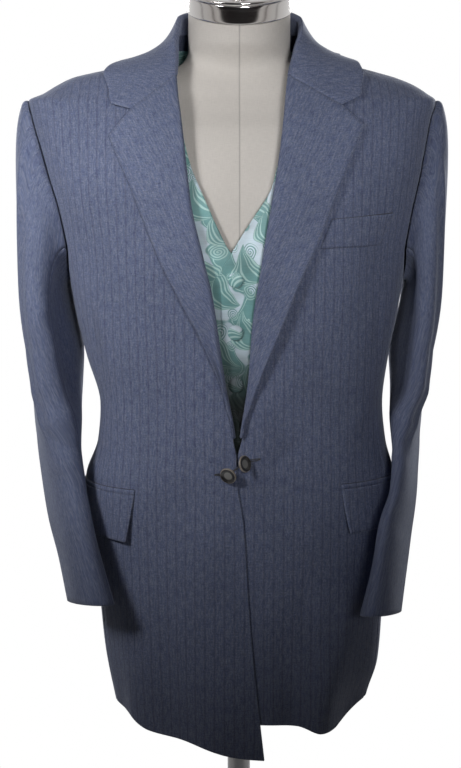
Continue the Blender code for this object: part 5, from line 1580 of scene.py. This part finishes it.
def stand(surface):
    """Round base, socket and pole under the form."""
    r, t = BASE_RADIUS, BASE_THICK
    base = [(0, 0), (r, 0), *((r - inset, share * t) for inset, share in BASE_BEVEL), (0, t)]
    turned("stand_base", rounded(base), 144, surface)
    sides = [(share * SOCKET_RADIUS, height) for share, height in SOCKET_SIDES]
    socket = [(0, 0), *sides, (0, SOCKET_HEIGHT)]
    turned("stand_socket", rounded(socket), 64, surface, (0, 0, BASE_THICK + SEAM_GAP))
    foot = BASE_THICK + SOCKET_HEIGHT + 2 * SEAM_GAP
    height = FORM_BOTTOM_Z - SEAM_GAP - foot
    pole = [(0, 0), (POLE_RADIUS, 0), (POLE_RADIUS, height), (0, height)]
    turned("stand_pole", pole, 64, surface, (0, 0, foot))


def stitch_points(points, normals, edge, start=0.0):
    """Places and directions of small stitches beside one edge, from a share of its length on."""
    if edge in "lr":
        line = points if edge == "l" else points[:, ::-1]
        face = normals if edge == "l" else normals[:, ::-1]
    else:
        line = np.swapaxes(points if edge == "b" else points[::-1], 0, 1)
        face = np.swapaxes(normals if edge == "b" else normals[::-1], 0, 1)
    away = lengths_along(line, 1)
    rows = np.arange(line.shape[0])
    column = np.array([np.interp(STITCH_INSET, away[r], np.arange(line.shape[1])) for r in rows])
    c = np.clip(column.astype(int), 0, line.shape[1] - 2)
    on = (column - c)[:, None]
    track = line[rows, c] * (1 - on) + line[rows, c + 1] * on
    facing = face[rows, c] * (1 - on) + face[rows, c + 1] * on
    walked = lengths_along(track[:, None], 0)[:, 0]
    at = np.arange(walked[-1] * start + STITCH_PITCH, walked[-1] - STITCH_PITCH, STITCH_PITCH)

    def read(values, where):
        return np.stack([np.interp(where, walked, values[:, k]) for k in range(3)], axis=-1)

    place = read(track, at)
    return place, read(track, at + STITCH_PITCH * STITCH_AHEAD) - place, read(facing, at)


def stitches(name, runs, surface):
    """Small raised stitches of all the seams, in one mesh."""
    sides = STITCH_SIDES
    turn = 2 * math.pi * np.arange(sides) / sides
    shape = []
    for along, wide in STITCH_SHAPE:
        shape += [(along, wide * math.cos(a), wide * math.sin(a)) for a in turn]
    shape = np.array(shape)
    faces = []
    for first in range(0, len(shape) - sides, sides):
        for k in range(sides):
            n = (k + 1) % sides
            faces.append((first + k, first + n, first + sides + n, first + sides + k))
    faces.append(tuple(range(sides)))
    faces.append(tuple(range(len(shape) - sides, len(shape))))
    vertices = []
    all_faces = []
    for place, along, up in runs:
        along = unit(along)
        up = unit(up)
        across = np.cross(along, up)
        for spot, ahead, side, out in zip(place, along, across, up):
            first = len(vertices)
            body = (spot + shape[:, :1] * ahead * STITCH_HALF + shape[:, 1:2] * side * STITCH_THICK
                    + shape[:, 2:] * out * STITCH_THICK)
            vertices += [tuple(v) for v in body]
            all_faces += [tuple(first + k for k in face) for face in faces]
    vertices = np.array(vertices)
    item = mesh_object(name, vertices, all_faces, vertices[:, [0, 2]], surface)
    dressed(item, None)


class Shade:
    """A value of a material, with which sums are written as with numbers."""

    def __init__(self, paint, socket):
        self.paint = paint
        self.socket = socket

    def maths(self, operation, first, second=0.0):
        return self.paint.node("ShaderNodeMath", {"operation": operation}, {0: first, 1: second})

    def __add__(self, other):
        return self.maths("ADD", self, other)

    def __radd__(self, other):
        return self.maths("ADD", other, self)

    def __sub__(self, other):
        return self.maths("SUBTRACT", self, other)

    def __rsub__(self, other):
        return self.maths("SUBTRACT", other, self)

    def __mul__(self, other):
        return self.maths("MULTIPLY", self, other)

    def __rmul__(self, other):
        return self.maths("MULTIPLY", other, self)

    def __truediv__(self, other):
        return self.maths("DIVIDE", self, other)

    def __rtruediv__(self, other):
        return self.maths("DIVIDE", other, self)

    def __pow__(self, other):
        return self.maths("POWER", self, other)

    def fraction(self):
        return self.maths("FRACT", self)

    def size(self):
        return self.maths("ABSOLUTE", self)

    def most(self, other):
        return self.maths("MAXIMUM", self, other)

    def turn_from(self, other):
        return self.maths("ARCTAN2", self, other)

    def over(self, low, high):
        """0 below low, 1 above high, soft between them."""
        values = {"Value": self, "From Min": low, "From Max": high}
        return self.paint.node("ShaderNodeMapRange", {"interpolation_type": "SMOOTHSTEP"}, values)

    def near(self, middle, half, soft):
        """1 within half of the middle, 0 beyond the soft edge."""
        return 1 - (self - middle).size().over(half, half + soft)


class Paint:
    """The nodes of a material, or of the room."""

    def __init__(self, owner):
        self.owner = owner
        owner.use_nodes = True
        self.tree = owner.node_tree

    def node(self, kind, settings, values, output=0):
        """Add a node: first its settings, or the stops of a ramp, then its values and links."""
        made = self.tree.nodes.new(kind)
        for key, value in settings.items():
            if key == "stops":
                ramp_stops(made.color_ramp, value)
            else:
                setattr(made, key, value)
        for key, value in values.items():
            self.put(made.inputs[key], value)
        return Shade(self, made.outputs[output])

    def put(self, socket, value):
        if isinstance(value, Shade):
            self.tree.links.new(value.socket, socket)
        elif isinstance(value, tuple) and len(value) == 3 and socket.type == "RGBA":
            socket.default_value = (*value, 1.0)
        else:
            socket.default_value = value

    def finish(self, values, last="Principled BSDF"):
        """Set the sockets of the node that is there from the start."""
        for key, value in values.items():
            self.put(self.tree.nodes[last].inputs[key], value)
        return self.owner

    def cloth_place(self):
        """Place on the cloth in metres: the whole vector, then across and along."""
        uv = self.node("ShaderNodeUVMap", {"uv_map": "Cloth"}, {})
        across = self.node("ShaderNodeSeparateXYZ", {}, {0: uv}, 0)
        along = self.node("ShaderNodeSeparateXYZ", {}, {0: uv}, 1)
        return uv, across, along

    def vector(self, x, y, z=0.0):
        return self.node("ShaderNodeCombineXYZ", {}, {0: x, 1: y, 2: z})

    def noise(self, vector, scale, detail=2.0, rough=0.5, distortion=0.0):
        values = {"Vector": vector, "Scale": scale, "Detail": detail, "Roughness": rough,
                  "Distortion": distortion}
        return self.node("ShaderNodeTexNoise", {"noise_dimensions": "2D"}, values)

    def streaks(self, across, along, marks_across, marks_along, detail, rough):
        """Noise drawn out along the threads of a cloth."""
        place = self.vector(across * marks_across, along * marks_along)
        return self.noise(place, 1.0, detail, rough)

    def mix(self, share, first, second):
        """Colour between two colours."""
        values = {0: share, 6: first, 7: second}
        return self.node("ShaderNodeMix", {"data_type": "RGBA"}, values, 2)

    def scaled(self, colour, by):
        """Colour made lighter or darker by a value."""
        return self.node("ShaderNodeVectorMath", {"operation": "SCALE"}, {0: colour, "Scale": by})

    def bump(self, height, distance, strength=1.0):
        values = {"Height": height, "Distance": distance, "Strength": strength}
        return self.node("ShaderNodeBump", {}, values)


def ramp_stops(ramp_band, stops):
    """Colour ramp with the given places and colours."""
    band = ramp_band.elements
    while len(band) < len(stops):
        band.new(0.5)
    for stop, (place, colour) in zip(band, stops):
        stop.position = place
        stop.color = (*colour, 1.0)


def new_paint(name):
    return Paint(bpy.data.materials.new(name))


def varied(*parts):
    """Tone around 1, from values around a half, each with its contrast."""
    tone = 1
    for value, contrast in parts:
        tone = tone + (value - 0.5) * contrast
    return tone


def suiting(name, stripes, light=1.0):
    """Blue-grey worsted with dark stripes, finer lines between them and a speckled twill."""
    paint = new_paint(name)
    uv, across, along = paint.cloth_place()
    weft, warp, slub, cross = (paint.streaks(across, along, *threads)
                               for threads in (WEFT, WARP, SLUB, CROSS))
    speckle = paint.noise(uv, 560.0, 2.0, 0.7)
    cloud = paint.noise(uv, 14.0, 3.0, 0.5)
    sway = (paint.noise(paint.vector(across * 6, along * 9), 1.0) - 0.5) * STRIPE_WANDER
    line = across + sway
    main = (line / STRIPE_PITCH).fraction()
    main = main.near(0.5, STRIPE_HALF / STRIPE_PITCH, STRIPE_SOFT / STRIPE_PITCH)
    fine = (line / STRIPE_PITCH * FINE_STRIPES).fraction().near(0.5, 0.07, 0.09)
    broken = (weft * 0.9 + speckle * 0.8).over(0.55, 1.05)
    main = main * (0.62 + 0.38 * broken)
    fine = fine * (0.35 + 0.65 * broken)
    # Painted light: light above 1 makes the whole cloth lighter, a lit copy of the same cloth
    tone = varied((weft, 0.50), (warp, 0.60), (speckle, 0.70), (slub, 0.45), (cross, 0.55),
                  (cloud, 0.20)) * light
    threads = (speckle * 0.5 + warp * 0.5).over(0.38, 0.64)
    plain = paint.scaled(paint.mix(threads, SUIT_BLUE, SUIT_GREY), tone)
    lined = paint.mix(fine * (0.34 * stripes), plain, paint.scaled(SUIT_LINE, tone))
    colour = paint.mix(main * (0.44 * stripes), lined, paint.scaled(SUIT_STRIPE, tone))
    twill = ((across + along) * (1 / TWILL_PITCH)).fraction()
    twill = (twill - 0.5).size() * 2
    height = twill * 0.5 + weft * 0.5 + speckle * 0.5 - main * 0.15
    rough = 0.84 + (speckle - 0.5) * 0.12
    values = {"Base Color": colour, "Roughness": rough, "Normal": paint.bump(height, 0.00022, 0.75),
              "Specular IOR Level": 0.30, "Sheen Weight": 0.22, "Sheen Roughness": 0.45,
              "Sheen Tint": SHEEN_COLOUR}
    return paint.finish(values)


def cell_place(across, along, cell, spot):
    """Place from the middle of a repeating cell of the pattern."""
    width, length = cell
    u = (across / width + spot[0]).fraction() * width - width / 2
    v = (along / length + spot[1]).fraction() * length - length / 2
    return u, v


def teardrop(across, along, cell, spot, angle, size, bend):
    """Bent drop of a paisley: 0 at its middle line, 1 on its outline, more outside."""
    u, v = cell_place(across, along, cell, spot)
    p = u * math.cos(angle) + v * math.sin(angle)
    q = v * math.cos(angle) - u * math.sin(angle)
    q = q / size
    p = (p / size) - bend * (q * q) + bend * 0.3
    taper = (0.62 - 0.42 * q).most(0.02)
    reach = (1 - (q * q)).most(0.0001) ** 0.5
    return p.size() / (taper * reach)


def curl(across, along, cell, spot, size, hand):
    """Line that winds round the middle of a repeating cell, and the disc that it fills."""
    u, v = cell_place(across, along, cell, spot)
    away = (u * u + v * v) ** 0.5
    turn = v.turn_from(u) * (hand / (2 * math.pi))
    line = (away / (size * CURL_STEP) + turn).fraction().near(0.5, 0.15, 0.14)
    return line, 1 - away.over(size * 0.94, size * 1.04)


def paisley(name):
    """Mint and white satin: bent drops with contour lines and curls on a ground of both colours, with
    painted sheen in streaks and soft patches and painted shade toward the low end of the closure.
    """
    paint = new_paint(name)
    uv, across, along = paint.cloth_place()
    shift = paint.noise(uv, 30.0, 1.0, 0.5) - 0.5
    swirl = paint.noise(paint.vector(across + 3.1, along - 1.7), 30.0, 1.0, 0.5) - 0.5
    bent_across = across + shift * PAISLEY_SWAY
    bent_along = along + swirl * PAISLEY_SWAY
    ground = paint.noise(paint.vector(bent_across, bent_along * 0.8), 34.0, 1.0, 0.4)
    white = ground.over(0.49, 0.53)
    lines = ground.near(0.455, 0.006, 0.008)
    for cell, spot, size, hand in PAISLEY_CURLS:
        line, disc = curl(bent_across, bent_along, cell, spot, size, hand)
        white = white * (1 - disc * line)
        lines = lines * (1 - disc) + disc * (1 - line) * (1 - white) * 0.8
    for cell, spot, angle, size, bend in PAISLEY_DROPS:
        inside = teardrop(bent_across, bent_along, cell, spot, angle, size, bend)
        body = 1 - inside.over(1.10, 1.16)
        first, second, third = (inside.near(*line) for line in DROP_LINES)
        rims = first.most(second).most(third)
        white = white * (1 - body)
        lines = lines * (1 - body) + body * rims
    # Painted sheen: the satin streaks and the wide swing of the cloud make the colour lighter and
    # darker, as the satin's sheen over small folds
    sheen_line = paint.streaks(across, along, *SATIN)
    cloud = paint.noise(uv, 30.0, 2.0, 0.5)
    # Painted shade: below the clear height the satin darkens to nearly black, for the shade deep in the
    # coat's closure; the same mask makes it rougher there
    depth = along.over(VEST_SHADE_DARKEST_Z, VEST_SHADE_CLEAR_Z)
    tone = varied((sheen_line, 0.20), (cloud, 1.1)) * (0.035 + 0.965 * depth)
    ground_colour = paint.mix(white, VEST_MINT, VEST_WHITE)
    colour = paint.scaled(paint.mix(lines, ground_colour, VEST_LINE), tone)
    height = cloud * 3.0 - lines * 0.4 + sheen_line * 0.15
    values = {"Base Color": colour, "Roughness": 0.94 - depth * 0.50 - white * 0.10,
              "Normal": paint.bump(height, 0.00050, 0.7), "Specular IOR Level": 0.5,
              "Anisotropic": 0.3, "Sheen Weight": 0.1}
    return paint.finish(values)


def linen(name):
    """Warm light grey linen with slubs and the seam down the middle of the neck."""
    paint = new_paint(name)
    uv, across, along = paint.cloth_place()
    warp = paint.streaks(across, along, *LINEN_WARP)
    weft = paint.streaks(across, along, *LINEN_WEFT)
    cloud = paint.noise(uv, 9.0, 3.0, 0.5)
    seam = across.near(0.0, 0.0005, 0.0007)
    tone = varied((warp, 0.16), (weft, 0.16), (cloud, 0.12)) - seam * 0.30
    colour = paint.scaled(LINEN_COLOUR, tone)
    height = warp * 0.5 + weft * 0.5
    values = {"Base Color": colour, "Roughness": 0.9, "Normal": paint.bump(height, 0.00020, 0.6),
              "Specular IOR Level": 0.25, "Sheen Weight": 0.12}
    return paint.finish(values)


def bright_metal(name):
    """Chromed metal with faint wiping marks."""
    paint = new_paint(name)
    _, across, along = paint.cloth_place()
    marks = paint.streaks(across, along, *WIPED)
    values = {"Base Color": CHROME_COLOUR, "Metallic": 1.0, "Roughness": 0.10 + marks * 0.10}
    return paint.finish(values)


def paint_coat(name):
    """Satin grey paint of the stand, with a fine orange-peel surface."""
    paint = new_paint(name)
    uv, _, _ = paint.cloth_place()
    peel = paint.noise(uv, 700.0, 2.0, 0.5)
    dust = paint.noise(uv, 20.0, 3.0, 0.5)
    values = {"Base Color": STAND_COLOUR, "Metallic": 0.5,
              "Roughness": 0.36 + dust * 0.12, "Normal": paint.bump(peel, 0.00008, 0.4),
              "Coat Weight": 0.2}
    return paint.finish(values)


def horn_button(name):
    """Dark horn: a pale rim, a black ring and a grey dished face."""
    paint = new_paint(name)
    _, radius, _ = paint.cloth_place()
    share = radius / LINK_BUTTON_RADIUS
    grain_line = paint.noise(paint.vector(radius * 900, radius * 200), 1.0, 3.0, 0.6)
    face = paint.mix(share.over(0.40, 0.56), HORN_FACE, HORN_RING)
    rim = paint.mix(share.over(0.86, 0.93), face, HORN_RIM)
    colour = paint.scaled(rim, varied((grain_line, 0.3)))
    values = {"Base Color": colour, "Roughness": 0.24 + grain_line * 0.12, "Coat Weight": 0.35}
    return paint.finish(values)


def thread_paint(name, colour):
    """Twisted sewing thread, and the dark line of painted shadow along the pocket mouths."""
    paint = new_paint(name)
    _, across, along = paint.cloth_place()
    twist = (across * 900 + along * 1400).fraction()
    tone = 0.8 + (twist - 0.5).size() * 0.8
    values = {"Base Color": paint.scaled(colour, tone), "Roughness": 0.75,
              "Normal": paint.bump(twist, 0.00010, 0.5), "Sheen Weight": 0.2}
    return paint.finish(values)


def floor_paint(name):
    """Plain pale floor that fades into the white of the room."""
    paint = new_paint(name)
    _, across, along = paint.cloth_place()
    away = (across * across + along * along) ** 0.5
    values = {"Base Color": FLOOR_COLOUR, "Roughness": 0.95, "Specular IOR Level": 0.1,
              "Emission Color": (1.0, 1.0, 1.0), "Emission Strength": FLOOR_GLOW,
              "Alpha": 1 - away.over(FLOOR_RADIUS * FLOOR_CLEAR, FLOOR_RADIUS)}
    return paint.finish(values)


def lamp(name, spot, aim, size, watts, spread):
    """Soft square light that the camera doesn't see."""
    data = bpy.data.lights.new(name, "AREA")
    data.shape = "SQUARE"
    data.size = size
    data.energy = watts
    data.spread = math.radians(spread)
    item = bpy.data.objects.new(name, data)
    bpy.context.scene.collection.objects.link(item)
    item.location = spot
    direction = unit(np.array(aim, dtype=float) - np.array(spot, dtype=float))
    item.rotation_euler = (math.acos(-direction[2]), 0.0,
                           math.atan2(direction[1], direction[0]) - math.pi / 2)
    item.visible_camera = False


def surroundings():
    """White room: bright to the camera, soft light for the cloth, toned in what shines."""
    room = Paint(bpy.data.worlds.new("room"))
    bpy.context.scene.world = room.owner
    place = room.node("ShaderNodeTexCoord", {}, {}, "Generated")
    depth = room.node("ShaderNodeSeparateXYZ", {}, {0: place}, 1)
    values = {"Value": depth, "From Min": -1.0, "From Max": 1.0}
    share = room.node("ShaderNodeMapRange", {}, values)
    tones = room.node("ShaderNodeValToRGB", {"stops": ROOM_TONES}, {0: share})
    shine = room.node("ShaderNodeLightPath", {}, {}, "Is Glossy Ray")
    values = {"Value": shine, "To Min": ROOM_LIGHT, "To Max": ROOM_SHINE}
    strength = room.node("ShaderNodeMapRange", {}, values)
    around_it = room.node("ShaderNodeBackground", {}, {"Color": tones, "Strength": strength})
    values = {"Color": (1.0, 1.0, 1.0), "Strength": ROOM_SEEN}
    behind = room.node("ShaderNodeBackground", {}, values)
    seen = room.node("ShaderNodeLightPath", {}, {}, "Is Camera Ray")
    both = room.node("ShaderNodeMixShader", {}, {0: seen, 1: around_it, 2: behind})
    room.finish({"Surface": both}, "World Output")


def studio():
    """Pale floor, soft lights and the camera of the picture."""
    reach = FLOOR_RADIUS
    corners = [(-reach, -reach, 0.0), (reach, -reach, 0.0), (reach, reach, 0.0), (-reach, reach, 0.0)]
    floor = mesh_object("floor", np.array(corners), [(0, 1, 2, 3)], np.array(corners)[:, :2],
                        floor_paint("floor"))
    floor.visible_diffuse = False
    surroundings()
    for values in LAMPS:
        lamp(*values)
    data = bpy.data.cameras.new("camera")
    data.sensor_fit = "VERTICAL"
    data.sensor_height = CAMERA_SENSOR
    data.lens = CAMERA_LENS
    camera = bpy.data.objects.new("camera", data)
    bpy.context.scene.collection.objects.link(camera)
    camera.location = CAMERA_SPOT
    camera.rotation_euler = (math.radians(90.0 - CAMERA_DIP), 0.0, 0.0)
    bpy.context.scene.camera = camera
    bpy.context.scene.view_settings.view_transform = "Standard"


def main():
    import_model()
    coat = suiting("suit_cloth", 1.0)
    # Painted light: the lapels and collar get the coat's cloth a little lighter, as the light on the
    # turned cloth
    facing = suiting("lapel_cloth", 0.30, 1.05)
    sleeving = suiting("sleeve_cloth", 0.45)
    silk = paisley("vest_satin")
    horn = horn_button("button_horn")
    dark_thread = thread_paint("link_thread", LINK_THREAD)
    suit_thread = thread_paint("suit_thread", SUIT_THREAD)
    # Painted shadow: dark paint of the lines along the pocket mouths
    mouth_thread = thread_paint("mouth_thread", MOUTH_SHADOW_COLOUR)
    metal = bright_metal("neck_chrome")
    stand_coat = paint_coat("stand_paint")
    dress_form(linen("form_linen"))
    runs = []
    for side, word in ((-1, "right"), (1, "left")):
        coat_panels(side, word, coat)
        points, normals = lapel(side, word, facing)
        runs.append(stitch_points(points, normals, "r"))
        runs.append(stitch_points(points, normals, "t", LAPEL_TOP_STITCHED))
        sleeve(side, word, sleeving)
        points, normals = hip_pocket(side, word, coat, mouth_thread)
        runs.append(stitch_points(points, normals, "l"))
        runs.append(stitch_points(points, normals, "b"))
        vest(side, word, silk)
    collar(facing)
    breast_welt(coat, mouth_thread)
    stitches("pick_stitches", runs, suit_thread)
    closure(horn, dark_thread)
    vest_buttons(silk)
    neck_cap(metal)
    stand(stand_coat)
    studio()


main()
